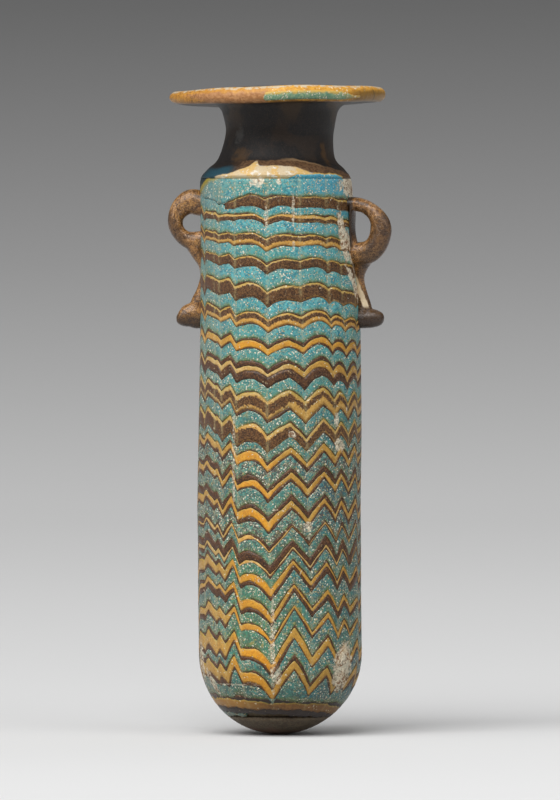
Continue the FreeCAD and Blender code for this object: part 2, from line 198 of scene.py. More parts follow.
@dataclass(frozen=True)
class Combing:
    """All the strokes, in order round the body from the first column."""

    heights: tuple[float, ...] = (128, 110, 91, 76, 62, 44, 32, 20, 12)
    azimuth_heights: tuple[float, float, float] = (110, 76, 32)
    arch_heights: tuple[float, float] = (90, 78)
    back_strokes: int = 14
    back_peak: tuple[float, ...] = (-0.2, -0.4, -1.4, -2.4, -3.4, -4.4, -3.8, -3.8, -3.0)
    back_valley: tuple[float, ...] = (0.9, 1.0, 0.9, 0.9, 0.6, 0.4, 0.8, 1.2, 1.4)
    seed: int = 21
    foot: float = 8.3  # below it nothing was combed
    foot_over: float = 3.4
    head_over: float = 7.0

    def strokes(self) -> list[Stroke]:
        """The strokes read from the photograph, with the unseen back filled in the same manner."""
        down, up = Cusp.DOWN, Cusp.UP
        front = [
            Stroke(up, (-20, -20, -21), (0,) * 9, (1, 1)),
            Stroke(down, (-9, -9, -6), (1.3, 2.3, 1.8, 3.0, 3.2, 3.5, 4.0, 4.0, 4.4)),
            Stroke(
                up, (4, 7.5, 10), (-0.2, 0.3, -0.9, -1.0, -2.5, -3.4, -4.8, -6.0, -3.8), (0.6, 0.1)
            ),
            Stroke(down, (15, 19, 23), (0.2, 0.4, 1.1, 2.8, 1.5, 1.2, 1.2, 1.5, 2.7)),
            Stroke(
                up, (29, 32, 35.5),
                (-0.1, -0.9, -2.1, -2.4, -3.4, -4.7, -3.5, -4.0, -2.5), (1, 0.15),
            ),
            Stroke(down, (38, 43, 45), (0.2, 0.6, 0.4, 0.6, 0.0, 0.1, 0.9, 1.4, 2.2)),
            Stroke(
                up, (43, 48, 51), (-0.1, -0.1, -1.2, -1.9, -3.3, -4.2, -2.5, -2.5, -2.2), (1, 0.2)
            ),
            Stroke(down, (52, 58, 59), (0.4, 0.7, 1.2, 0.9, 0.2, -0.1, 0.4, 0.6, 0.6)),
            Stroke(
                up, (61, 66, 71), (0.5, 0.5, -1.5, -2.7, -3.9, -5.0, -2.3, -4.1, -4.1), (1, 0.2)
            ),
            Stroke(down, (72, 74, 77), (1.1, 1.1, 0.6, -0.4, -0.4, -0.4, -0.5, -0.5, -0.5)),
        ]
        left = [
            Stroke(
                up, (-78, -78, -78),
                (-1.0, -1.5, -2.5, -3.7, -3.6, -3.6, -3.5, -3.5, -3.4), (0.5, 0.2),
            ),
            Stroke(down, (-72, -68, -67), (0.7, 0.7, 0.1, -1.6, -2.9, -2.8, -4.1, -2.2, -2.2)),
            Stroke(
                up, (-66, -62, -61),
                (0.1, -1.4, -1.7, -3.7, -4.4, -4.7, -5.7, -4.2, -3.0), (0.4, 0.2),
            ),
            Stroke(down, (-56, -53, -51), (0.2, -0.6, -0.7, -1.6, -2.1, -1.6, -3.4, -1.6, -0.7)),
            Stroke(
                up, (-53, -49.5, -47),
                (0.1, -0.3, -0.8, -1.6, -2.6, -2.8, -4.0, -3.3, -1.9), (0.2, 0.2),
            ),
            Stroke(down, (-50, -45, -42), (0.9, 0.0, 0.7, 0.2, 0.6, -0.2, -2.1, -0.9, -0.1)),
            Stroke(
                up, (-39, -37, -33.5),
                (0.3, -0.9, -1.2, -1.9, -2.6, -3.3, -4.5, -4.2, -4.0), (0.1, 0.1),
            ),
            Stroke(down, (-34.5, -32, -28.5), (0.5, 1.3, 1.0, 1.9, 1.4, 1.0, 0.9, 0.1, 0.4)),
            Stroke(up, (-20, -20, -21), (0,) * 9, (1, 1)),
        ]
        return front + self.unseen(front[-1], left[0]) + [self.next_round(s) for s in left]

    def unseen(self, first: Stroke, last: Stroke) -> list[Stroke]:
        """Strokes for the back, evenly spaced but for a little chance, and dragged alike.

        Args:
            first: the last stroke before the back.
            last: the first stroke after it.

        Returns:
            The strokes between them, in order.
        """
        chance = np.random.default_rng(self.seed)
        strokes = []
        gap = (last.azimuths[0] + 360 - first.azimuths[0]) / (self.back_strokes + 1)
        for count in range(self.back_strokes):
            cusp = Cusp.UP if count % 2 == 0 else Cusp.DOWN
            drags = self.back_peak if cusp is Cusp.UP else self.back_valley
            azimuth = first.azimuths[0] + gap * (count + 1) + chance.uniform(-1.4, 1.4)
            pull = chance.uniform(0.75, 1.2)
            arch = (1.0, 0.2) if cusp is Cusp.UP else (0.0, 0.0)
            places = (azimuth, azimuth + 2, azimuth + 4)
            strokes.append(Stroke(cusp, places, tuple(pull * d for d in drags), arch))
        return strokes

    def next_round(self, stroke: Stroke) -> Stroke:
        """The same stroke with its azimuths counted one turn on."""
        places = tuple(a + 360 for a in stroke.azimuths)
        return Stroke(stroke.cusp, places, stroke.drags, stroke.roundness)

    def drag(self, azimuth: Array, height: Array) -> Array:
        """How far each point of the laid threads was pulled down.

        Args:
            azimuth: degrees round the axis, any turn.
            height: the heights at which the threads were laid.

        Returns:
            The drag of each point, downwards positive.
        """
        strokes = self.strokes()
        start = strokes[0].azimuths[0]
        turned = (azimuth - start) % 360 + start
        result = np.zeros_like(turned)
        for here, there in zip(strokes, strokes[1:]):
            a, b = self.place(here, height), self.place(there, height)
            share = np.clip((turned - a) / np.maximum(b - a, 0.5), 0, 1)
            inside = (turned >= a) & (turned < b)
            pull = self.between(here, there, share, height)
            result = np.where(inside, pull, result)
        return result * self.fade(height)

    def place(self, stroke: Stroke, height: Array) -> Array:
        """The stroke's azimuth at each height."""
        return np.interp(height, self.azimuth_heights[::-1], stroke.azimuths[::-1])

    def pull(self, stroke: Stroke, height: Array) -> Array:
        """The stroke's drag at each height."""
        return np.interp(height, self.heights[::-1], stroke.drags[::-1])

    def between(self, here: Stroke, there: Stroke, share: Array, height: Array) -> Array:
        """The drag between two strokes, sharp or arched at the one that drew up.

        Args:
            here: the stroke on the left.
            there: the stroke on the right.
            share: how far each point is on the way from here to there.
            height: the laid heights.

        Returns:
            The drag of each point.
        """
        rising = there.cusp is Cusp.UP
        peak = there if rising else here
        way = share if rising else 1 - share
        arch = np.interp(height, self.arch_heights[::-1], peak.roundness[::-1])
        way = (1 - arch) * way + arch * (1 - (1 - way) ** 2)
        valley = here if rising else there
        low, high = self.pull(valley, height), self.pull(peak, height)
        return low + (high - low) * way

    def fade(self, height: Array) -> Array:
        """The share of the drag that is left near the ends of the winding."""
        foot = np.clip((height - self.foot) / self.foot_over, 0, 1)
        head = np.clip((BODY.skin_top - height) / self.head_over, 0, 1)
        return foot**2 * (3 - 2 * foot) * head

    def nearness(self, azimuth: Array, height: Array, reach: float) -> Array:
        """How near each point is to a stroke that drew down, 1 on it and 0 well away.

        Args:
            azimuth: degrees round the axis, any turn.
            height: the heights of the points.
            reach: the degrees over which the nearness falls off.

        Returns:
            The nearness of each point.
        """
        result = np.zeros_like(azimuth)
        for stroke in self.strokes():
            if stroke.cusp is Cusp.DOWN:
                off = signed(azimuth - self.place(stroke, height))
                result = np.maximum(result, np.exp(-((off / reach) ** 2)))
        return result


# ---------------------------------------------------------------- winding


@dataclass(frozen=True)
class Turn:
    """One turn of the winding, read down the first column.

    head is the height of the turn's top edge; then come the thicknesses of its upper brown, its
    yellow and its lower brown. core is a brown stripe laid in the yellow, as its start and end
    below the yellow's top. warmth takes the yellow from cream to orange, and green and speckle
    belong to the turquoise above the turn. left and right hold the values that the turn takes on
    the far left and right of the middle, where they differ.
    """

    head: float
    upper: float
    yellow: float
    lower: float
    core: tuple[float, float] = (0.0, 0.0)
    warmth: float = 0.8
    green: float = 0.2
    speckle: float = 0.0
    left: dict[str, object] = field(default_factory=dict)
    right: dict[str, object] = field(default_factory=dict)

    def sides(self) -> tuple["Turn", "Turn", "Turn"]:
        """The turn as it is on the far left, at the first column and on the right."""
        return replace(self, **self.left), self, replace(self, **self.right)


@dataclass(frozen=True)
class Winding:
    """The lay of the threads: the turns, how the winding starts, and the least line between."""

    first_tip: float = 0.939  # the turn at which the yellow and brown threads start
    first_lap: float = 0.55  # the turn at which the turquoise starts under the shoulder
    tip_run: float = 0.004  # how many turns the threads take to reach their thickness there
    tip_height: float = 131.8
    tip_share: float = 0.45  # how thick the threads are at that blunt tip
    least: float = 0.11
    turns: tuple[Turn, ...] = (
        Turn(133.8, 0, 2.7, 0, (0.1, 2.7), 0.5, 0.15, 0.1),
        Turn(129.1, 0, 1.4, 0, (0.5, 1.4), 0.6, 0.1, 0.05, right={"core": (0.7, 1.4)}),
        Turn(124.3, 0, 2.7, 0, (0.3, 1.7), 0.7, 0.1, 0.05, right={"core": (0.3, 1.3)}),
        Turn(118.4, 0, 2.2, 0, (0.3, 2.2), 0.7, 0.15, 0.05),
        Turn(112.0, 0, 3.7, 0, (0.5, 3.7), 0.5, 0.1, 0.05),
        Turn(104.8, 0, 3.0, 0, (0.4, 1.8), 0.7, 0.15, 0.1),
        Turn(98.1, 0.7, 1.6, 0.2, (0, 0), 1.0, 0.2, 0.1),
        Turn(92.4, 1.2, 1.0, 2.5, (0, 0), 0.3, 0.25, 0.15, right={"warmth": 0.95}),
        Turn(
            85.0, 0, 4.5, 0.5, (1.0, 3.7), 0.45, 0.3, 0.2,
            right={"core": (0.9, 2.1), "warmth": 0.85},
        ),
        Turn(77.0, 0, 4.2, 0, (1.0, 4.2), 0.6, 0.3, 0.25),
        Turn(70.3, 0.2, 2.0, 0.5, (0, 0), 0.95, 0.3, 0.3, left={"yellow": 1.1}),
        Turn(64.2, 1.2, 1.7, 0.5, (0, 0), 0.95, 0.3, 0.8, left={"yellow": 1.0}),
        Turn(57.0, 1.2, 2.2, 0.7, (0, 0), 1.0, 0.3, 0.3, left={"yellow": 1.3}),
        Turn(49.5, 0.5, 0.6, 0, (0, 0), 0.6, 0.4, 0.9, right={"upper": 0.3, "yellow": 0.3}),
        Turn(45.3, 2.2, 0.7, 0, (0, 0), 0.4, 0.45, 0.3, right={"yellow": 0.25}),
        Turn(39.9, 0, 2.2, 0.7, (0, 0), 1.0, 0.8, 0.2, right={"yellow": 1.2, "lower": 1.5}),
        Turn(
            33.4, 0, 2.0, 1.0, (0, 0), 1.0, 0.7, 0.2,
            left={"yellow": 1.0},
            right={"yellow": 1.5, "lower": 1.3},
        ),
        Turn(27.5, 0, 1.5, 0.2, (0, 0), 0.95, 0.8, 0.2, right={"yellow": 1.1}),
        Turn(21.5, 0.2, 2.5, 0.7, (0, 0), 1.0, 0.8, 0.2, right={"lower": 0.2}),
        Turn(15.6, 0.5, 2.5, 0.5, (0, 0), 0.95, 0.4, 0.2, right={"lower": 0.1}),
        Turn(8.5, 0.6, 2.0, 1.4, (0, 0), 0.75, 0.2, 0.2),
        Turn(3.6, 0.2, 1.0, 0.6, (0, 0), 0.7, 0.2, 0.2),
    )

    def marks(self) -> Array:
        """The turn counts at which the edges are known."""
        whole = np.arange(1, len(self.turns) + 1, dtype=float)
        first = [0.0, self.first_lap, self.first_tip - self.tip_run, self.first_tip]
        return np.concatenate([first, whole])

    def edge(self, number: int, turn: Array) -> Array:
        """Laid heights of one of a turn's four edges.

        Args:
            number: 0 for the turn's top, 1 and 2 for the yellow's edges, 3 for its foot.
            turn: the turn counts.

        Returns:
            The laid height at each turn count.
        """
        heads = [BODY.skin_top] * 2 + [self.tip_height] * 2 + self.heads()
        head = np.interp(turn, self.marks(), heads)
        share, extra = self.fullness(turn, head)
        below = np.zeros_like(turn)
        for name in ("upper", "yellow", "lower")[:number]:
            brown = name != "yellow"
            least = self.least if brown else 0.0
            laid = self.spread(turn, lambda row: max(getattr(row, name), least))
            below = below + (laid + extra if brown else laid * share)
        started = np.interp(turn, self.marks()[:5], [0, 0, 0, self.tip_share, 1])
        return head - below * started

    def heads(self) -> list[float]:
        """The height of each turn's top edge."""
        return [row.head for row in self.turns]

    def fullness(self, turn: Array, head: Array) -> tuple[Array, Array]:
        """How the threads differ from the first column, where they were read.

        Low on the body the yellow was drawn thinner right of the festoon and fuller on its left,
        and the browns thicker on both sides.

        Args:
            turn: the turn counts.
            head: the laid heights of the turns' top edges.

        Returns:
            The share of the yellow's thickness that is left, and what each brown gains.
        """
        azimuth = signed(azimuth_of(turn))
        festoon = ramp(azimuth, -38, -32) * ramp(azimuth, -4, -9)
        low = ramp(head, 84, 64) * ramp(head, 9, 13)
        left = ramp(azimuth, -34, -40)
        share = 1 - low * (1 - festoon) * (0.2 - 0.45 * left)
        return share, low * (1 - festoon) * (0.22 + 0.22 * left)

    def spread(self, turn: Array, read: Callable[[Turn], float]) -> Array:
        """A value of the turns at each turn count, changed where they differ left and right.

        Args:
            turn: the turn counts.
            read: takes the value from a turn.

        Returns:
            The value at each turn count.
        """
        azimuth = signed(azimuth_of(turn))
        left = ramp(azimuth, -33, -38) * ramp(azimuth, -150, -110)
        right = ramp(azimuth, 4, 10) * ramp(azimuth, 150, 110)
        whole = np.arange(1, len(self.turns) + 1, dtype=float)
        sides = np.array([[read(side) for side in row.sides()] for row in self.turns])
        value = np.interp(turn, whole, sides[:, 1])
        value = value + left * (np.interp(turn, whole, sides[:, 0]) - value)
        return value + right * (np.interp(turn, whole, sides[:, 2]) - value)

    def quality(self, name: str, turn: Array) -> Array:
        """One of the turns' finish values, such as warmth, at each turn count."""
        return self.spread(turn, lambda row: getattr(row, name))

    def core(self, end: int, turn: Array) -> Array:
        """Where the brown core starts (0) or ends (1), as a share of the yellow's thickness.

        A turn without a core has both ends at its middle.
        """
        return self.spread(turn, lambda row: row.core[end] / row.yellow if row.core[1] else 0.5)


WINDING = Winding()
COMBING = Combing()


def azimuth_of(turn: Array) -> Array:
    """The azimuth at which each turn count lies."""
    return FIRST_AZIMUTH + 360.0 * turn


def signed(azimuth: Array) -> Array:
    """The same azimuths as -180 to 180 degrees."""
    return (azimuth + 180) % 360 - 180


def ramp(value: Array, none: float, full: float) -> Array:
    """0 at none, 1 at full and even between; none may be the larger."""
    return np.clip((value - none) / (full - none), 0, 1)


def ripple(turn: Array, waves: Sequence[tuple[float, float, float]]) -> Array:
    """The sum of waves of (size, number round the axis, phase) at azimuths in radians."""
    return sum(size * np.sin(count * turn + phase) for size, count, phase in waves)


def polar(points: Array) -> tuple[Array, Array]:
    """The azimuth in radians of points, and how far out from the axis they lie."""
    return np.arctan2(points[:, 0], -points[:, 1]), np.hypot(points[:, 0], points[:, 1])


def wobble(turn: Array, edge: int) -> Array:
    """The small unevenness of a thread's edge, different on each edge."""
    azimuth = np.radians(360 * turn)
    waves = (
        (0.12, 4.3, 1.7 * edge), (0.08, 11.7, 3.91 * edge), (0.06, 23.1, 5.27 * edge + 0.6),
        (0.05, 41.3, 1.7 * edge), (0.035, 73.9, 3.57 * edge),
    )
    return ripple(azimuth, waves) * (1 + 0.5 * ramp(turn, 7, 11))


def settle(azimuth: Array, laid: Array) -> Array:
    """Where laid heights end up: combed, and corrected for how near the front was to the camera.

    Args:
        azimuth: degrees round the axis.
        laid: heights as read at the first column.

    Returns:
        The true heights, kept between the base disc and the shoulder.
    """
    seen = laid - COMBING.drag(azimuth, laid)
    near = BODY.radius * np.clip(np.cos(np.radians(azimuth)), 0, 1) / CAMERA_DISTANCE
    height = EYE_HEIGHT + (seen - EYE_HEIGHT) * (1 - near)
    return np.clip(height, BODY.skin_foot, BODY.skin_top)


# ---------------------------------------------------------------- mesh helpers


def hand_over(name: str, mesh: bpy.types.Mesh, material: bpy.types.Material) -> bpy.types.Object:
    """Makes the object of a mesh that is already in metres, smooth shaded and dressed.

    Args:
        name: the piece's name.
        mesh: the finished mesh.
        material: its finish.

    Returns:
        The object, linked to the scene.
    """
    mesh.name = name
    mesh.materials.clear()
    mesh.materials.append(material)
    mesh.polygons.foreach_set("use_smooth", [True] * len(mesh.polygons))
    piece = bpy.data.objects.new(name, mesh)
    bpy.context.scene.collection.objects.link(piece)
    log.info("%s: %d faces", name, len(mesh.polygons))
    return piece


def places(mesh: bpy.types.Mesh) -> Array:
    """The mesh's points, one row each."""
    flat = np.zeros(len(mesh.vertices) * 3)
    mesh.vertices.foreach_get("co", flat)
    return flat.reshape(-1, 3)


def replace_places(mesh: bpy.types.Mesh, points: Array) -> None:
    """Puts points given in millimetres into the mesh, in metres."""
    mesh.vertices.foreach_set("co", (points * MM).ravel())
    mesh.update()


def read_layer(mesh: bpy.types.Mesh, name: str) -> Array:
    """The values of a float layer, one for each point."""
    values = np.zeros(len(mesh.vertices))
    mesh.attributes[name].data.foreach_get("value", values)
    return values


def write_layer(mesh: bpy.types.Mesh, name: str, values: Array) -> None:
    """Stores one float for each point under a name that materials can read."""
    layer = mesh.attributes.get(name) or mesh.attributes.new(name, "FLOAT", "POINT")
    layer.data.foreach_set("value", values.astype(np.float32))


def face_outwards(mesh: bpy.types.Mesh) -> None:
    """Turns every face of a closed mesh outwards."""
    bm = bmesh.new()
    bm.from_mesh(mesh)
    bmesh.ops.recalc_face_normals(bm, faces=bm.faces)
    bm.to_mesh(mesh)
    bm.free()


def to_mesh(bm: bmesh.types.BMesh, name: str) -> bpy.types.Mesh:
    """Writes a bmesh into a new mesh and frees it."""
    mesh = bpy.data.meshes.new(name)
    bm.to_mesh(mesh)
    bm.free()
    return mesh


def smooth_line(knots: Sequence[tuple[float, ...]], steps: int) -> Array:
    """A smooth line through given knots.

    Args:
        knots: the knots, each a tuple of the same number of values.
        steps: how many steps lie between two knots.

    Returns:
        The line's stations, one row each, through every knot.
    """
    row = np.array(knots, dtype=float)
    ends = np.vstack([2 * row[0] - row[1], row, 2 * row[-1] - row[-2]])
    line = []
    for count in range(len(row) - 1):
        before, a, b, after = ends[count : count + 4]
        for step in range(steps):
            t = step / steps
            bend = 2 * a + (b - before) * t + (2 * before - 5 * a + 4 * b - after) * t**2
            line.append((bend + (3 * a - before - 3 * b + after) * t**3) / 2)
    line.append(row[-1])
    return np.array(line)


def lathe(
    outline: Array, steps: int, start: float = 0.0, sweep: float = 360.0
) -> bmesh.types.BMesh:
    """Turns a closed outline round the axis.

    Args:
        outline: rows of radius and height, in order round the section, in millimetres.
        steps: how many steps the turn has.
        start: the azimuth at which the turn starts.
        sweep: how far it goes; 360 closes it.

    Returns:
        The turned shape, in millimetres, with its azimuth counted as the frame's.
    """
    bm = bmesh.new()
    first = Matrix.Rotation(math.radians(start - 90), 3, "Z")
    ring = [bm.verts.new(first @ Vector((radius, 0, height))) for radius, height in outline]
    edges = [bm.edges.new((a, b)) for a, b in zip(ring, ring[1:] + ring[:1])]
    whole = sweep >= 360
    section = [] if whole else [bm.faces.new(ring)]
    bmesh.ops.spin(
        bm,
        geom=ring + edges + section,
        cent=(0, 0, 0),
        axis=(0, 0, 1),
        angle=math.radians(min(sweep, 360)),
        steps=steps,
        use_merge=whole,
        use_duplicate=False,
    )
    bmesh.ops.remove_doubles(bm, verts=bm.verts, dist=1e-4)
    bmesh.ops.recalc_face_normals(bm, faces=bm.faces)
    return bm


def arc(out: float, up: float, radius: float, degrees: Array) -> list[tuple[float, float]]:
    """Radius and height of points on an arc, by their angles up from level."""
    turns = np.radians(degrees)
    return [(out + radius * math.cos(a), up + radius * math.sin(a)) for a in turns]


def leaned(mesh: bpy.types.Mesh) -> None:
    """Lets a shape turned in millimetres follow the bottle's wandering axis and unevenness."""
    points = places(mesh)
    turn, reach = polar(points)
    uneven = BODY.relief(np.degrees(turn), points[:, 2]) * np.clip(reach / 8, 0, 1)
    grown = (reach + uneven) / np.maximum(reach, 1e-6)
    points[:, :2] *= grown[:, None]
    points[:, 0] += BODY.shift(points[:, 2])
    replace_places(mesh, points)


# ---------------------------------------------------------------- shader helpers


class Field:
    """A value or colour that varies over a surface; its arithmetic is done by nodes."""

    def __init__(self, graph: "Graph", socket: bpy.types.NodeSocket) -> None:
        """Takes the graph to work in and the socket that gives the value."""
        self.graph = graph
        self.socket = socket

    def __add__(self, other: Value) -> "Field":
        """The sum with another value."""
        return self.graph.math("ADD", self, other)

    def __sub__(self, other: Value) -> "Field":
        """What is left when another value is taken away."""
        return self.graph.math("SUBTRACT", self, other)

    def __rsub__(self, other: Value) -> "Field":
        """What this value leaves of another."""
        return self.graph.math("SUBTRACT", other, self)

    def __mul__(self, other: Value) -> "Field":
        """The product with another value."""
        return self.graph.math("MULTIPLY", self, other)

    def __truediv__(self, other: Value) -> "Field":
        """The share of another value."""
        return self.graph.math("DIVIDE", self, other)

    def __abs__(self) -> "Field":
        """The value without its sign."""
        return self.graph.math("ABSOLUTE", self)

    def step(self, low: Value, high: Value) -> "Field":
        """0 below low, 1 above high and smooth between; low may be the larger."""
        feeds = {"Value": self, "From Min": low, "From Max": high}
        return self.graph.value("ShaderNodeMapRange", feeds, interpolation_type="SMOOTHSTEP")

    def band(self, start: float, full: float, fading: float, end: float) -> "Field":
        """0 below start, 1 from full to fading and 0 again beyond end."""
        return self.step(start, full) * self.step(end, fading)


class Graph:
    """Adds and wires nodes of one tree, all read at one place on the surface."""

    def __init__(
        self, tree: bpy.types.NodeTree, place: Optional[bpy.types.NodeSocket] = None
    ) -> None:
        """Takes the tree, and the socket of the place where it isn't the surface's own.

        Args:
            tree: the tree to work in.
            place: the socket that gives the place in millimetres.
        """
        self.tree = tree
        self.place = self.own_place() if place is None else Field(self, place)
        self.x, y, self.height = self.parts(self.place)
        self.reach = self.math("SQRT", self.x * self.x + y * y)
        self.azimuth = self.math("ARCTAN2", self.x, y * -1.0) * (180 / math.pi)

    def node(self, kind: str, feeds: Optional[Feeds] = None, **settings: object) -> bpy.types.Node:
        """Adds a node of a kind, sets its properties and feeds its inputs."""
        made = self.tree.nodes.new(kind)
        for name, value in settings.items():
            setattr(made, name, value)
        for key, value in (feeds or {}).items():
            self.feed(made.inputs[key], value)
        return made

    def value(
        self, kind: str, feeds: Feeds, out: Union[int, str] = 0, **settings: object
    ) -> Field:
        """Adds a node in the same way and takes one of its outputs."""
        return Field(self, self.node(kind, feeds, **settings).outputs[out])

    def feed(self, socket: bpy.types.NodeSocket, value: Value) -> None:
        """Links a socket to a field, or sets its constant."""
        if isinstance(value, Field):
            self.tree.links.new(value.socket, socket)
        else:
            socket.default_value = value

    def math(self, operation: str, a: Value, b: Value = 0.0, clamp: bool = False) -> Field:
        """A maths node's result."""
        return self.value("ShaderNodeMath", {0: a, 1: b}, operation=operation, use_clamp=clamp)

    def product(self, *values: Value) -> Value:
        """The product of several values."""
        return functools.reduce(functools.partial(self.math, "MULTIPLY"), values)

    def most(self, *values: Value) -> Value:
        """The largest of several values."""
        return functools.reduce(functools.partial(self.math, "MAXIMUM"), values)

    def mix(self, share: Value, a: Shade, b: Shade) -> Field:
        """A colour between two colours."""
        a, b = (c if isinstance(c, Field) else tint(*c) for c in (a, b))
        feeds = {0: share, 6: a, 7: b}
        return self.value("ShaderNodeMix", feeds, 2, data_type="RGBA", clamp_factor=True)

    def noise(
        self, scale: float, detail: float = 2.0, warp: float = 0.0, place: Optional[Field] = None
    ) -> Field:
        """Noise of 0 to 1 at a scale per millimetre."""
        feeds = {"Vector": place or self.place, "Scale": scale, "Detail": detail}
        return self.value("ShaderNodeTexNoise", {**feeds, "Distortion": warp})

    def fray(self, amount: float, scale: float, detail: float, warp: float = 0.0) -> Field:
        """Noise about zero that spreads over an amount."""
        return (self.noise(scale, detail, warp) - 0.5) * amount

    def stirred(self, scale: float, amount: float) -> Field:
        """The place moved about by noise, by up to half an amount in millimetres."""
        noise = self.value("ShaderNodeTexNoise", {"Vector": self.place, "Scale": scale}, "Color")
        feeds = {0: noise, 1: (amount, amount, amount), 2: self.place}
        return self.value("ShaderNodeVectorMath", feeds, operation="MULTIPLY_ADD")

    def cells(self, place: Field, scale: float) -> tuple[Field, Field]:
        """Distance to the nearest of scattered points, and that point's chance colour."""
        made = self.fields(self.node("ShaderNodeTexVoronoi", {"Vector": place, "Scale": scale}))
        return made["Distance"], made["Color"]

    def layer(self, name: str) -> Field:
        """A float layer of the mesh."""
        return self.value("ShaderNodeAttribute", {}, "Fac", attribute_name=name)

    def own_place(self) -> Field:
        """The surface's own place in millimetres."""
        where = self.value("ShaderNodeTexCoord", {}, "Object")
        feeds = {0: where, "Scale": 1 / MM}
        return self.value("ShaderNodeVectorMath", feeds, operation="SCALE")

    def parts(self, vector: Field) -> tuple[Field, ...]:
        """The x, y and z of a vector."""
        return tuple(self.fields(self.node("ShaderNodeSeparateXYZ", {0: vector})).values())

    def fields(self, node: bpy.types.Node) -> Fields:
        """All outputs of a node, by name."""
        return {socket.name: Field(self, socket) for socket in node.outputs}

    def blot(self, patch: "Patch") -> Field:
        """The mask of one soft, ragged patch on the skin."""
        across = (self.azimuth - patch.azimuth) / patch.wide
        along = (self.height - patch.height) / patch.tall
        square = across * across + along * along
        return (square + self.fray(3.2, 0.8, 5.0, 0.4)).step(1.5, -0.2) * patch.strength


class Coat(Graph):
    """The graph of a finish, with what all of them read and the colour laid on so far."""

    def __init__(self, tree: bpy.types.NodeTree, effects: "SharedEffects") -> None:
        """Takes the material's tree and the shared shader groups."""
        super().__init__(tree)
        self.effects = effects
        mottle = self.group(effects.mottle)
        self.cloud, self.streak, self.grain = mottle["Cloud"], mottle["Streak"], mottle["Grain"]
        self.body = self.cloud

    def group(self, tree: bpy.types.NodeTree, **values: Value) -> Fields:
        """Places a shared group with its own values."""
        return self.fields(
            self.node("ShaderNodeGroup", {"Place": self.place, **values}, node_tree=tree)
        )

    def pits(self, density: Value) -> Fields:
        """Small burst bubbles of a density."""
        return self.group(self.effects.pits, Density=density)

    def wear(self, flecks: float) -> Fields:
        """The worn places and the painted highlight on the shoulder, with a share of small flecks
        besides.
        """
        return self.group(self.effects.wear, Flecks=flecks)

    def streaked(self, some: Shade, other: Shade) -> Field:
        """A colour that runs in streaks from one to the other."""
        return self.mix(self.streak, some, other)

    def frayed(self, amount: float) -> Field:
        """The thread's own 0 to 1 across its width, with its lines frayed by an amount."""
        return self.layer("across") + self.fray(amount, 1.7, 4.0, 0.6)

    def lay(self, colour: Shade, *masks: Value) -> None:
        """Lays a colour over what is there, as far as the product of its masks lets it."""
        self.body = self.mix(self.product(*masks), self.body, colour)

    def wear_off(self, wear: Fields) -> None:
        """Lays the colour of worn and crusted places, and of the painted highlight on the shoulder.
        """
        crusted = self.mix(wear["Crust"], (146, 110, 80), (238, 226, 200))
        self.lay(crusted, wear["Bare"])

    def finish(self, roughness: float, dull: Value, relief: Field, depth: float) -> None:
        """Feeds the shader's colour, roughness and normal.

        Args:
            roughness: the finish's own roughness, which its grain makes uneven.
            dull: where it is duller, being worn or filled.
            relief: the height of its surface, 0 to 1.
            depth: how many millimetres that stands for.
        """
        shader = self.tree.nodes["Principled BSDF"]
        rough = self.grain * 0.24 + (roughness - 0.12) + self.product(dull, 0.3)
        feeds = {"Strength": 1.0, "Distance": depth * MM, "Height": relief}
        normal = self.value("ShaderNodeBump", feeds)
        for name, value in (("Base Color", self.body), ("Roughness", rough), ("Normal", normal)):
            self.feed(shader.inputs[name], value)


@dataclass(frozen=True)
class Patch:
    """A patch on the skin, worn, crusted or standing as a painted highlight: its middle, its half
    sizes and how strong it is.

    slant is the degrees of azimuth that it gains for each millimetre down, and broken how far it
    is broken up into flecks.
    """

    azimuth: float
    height: float
    wide: float
    tall: float
    strength: float = 1.0
    slant: float = 0.0
    broken: float = 0.0


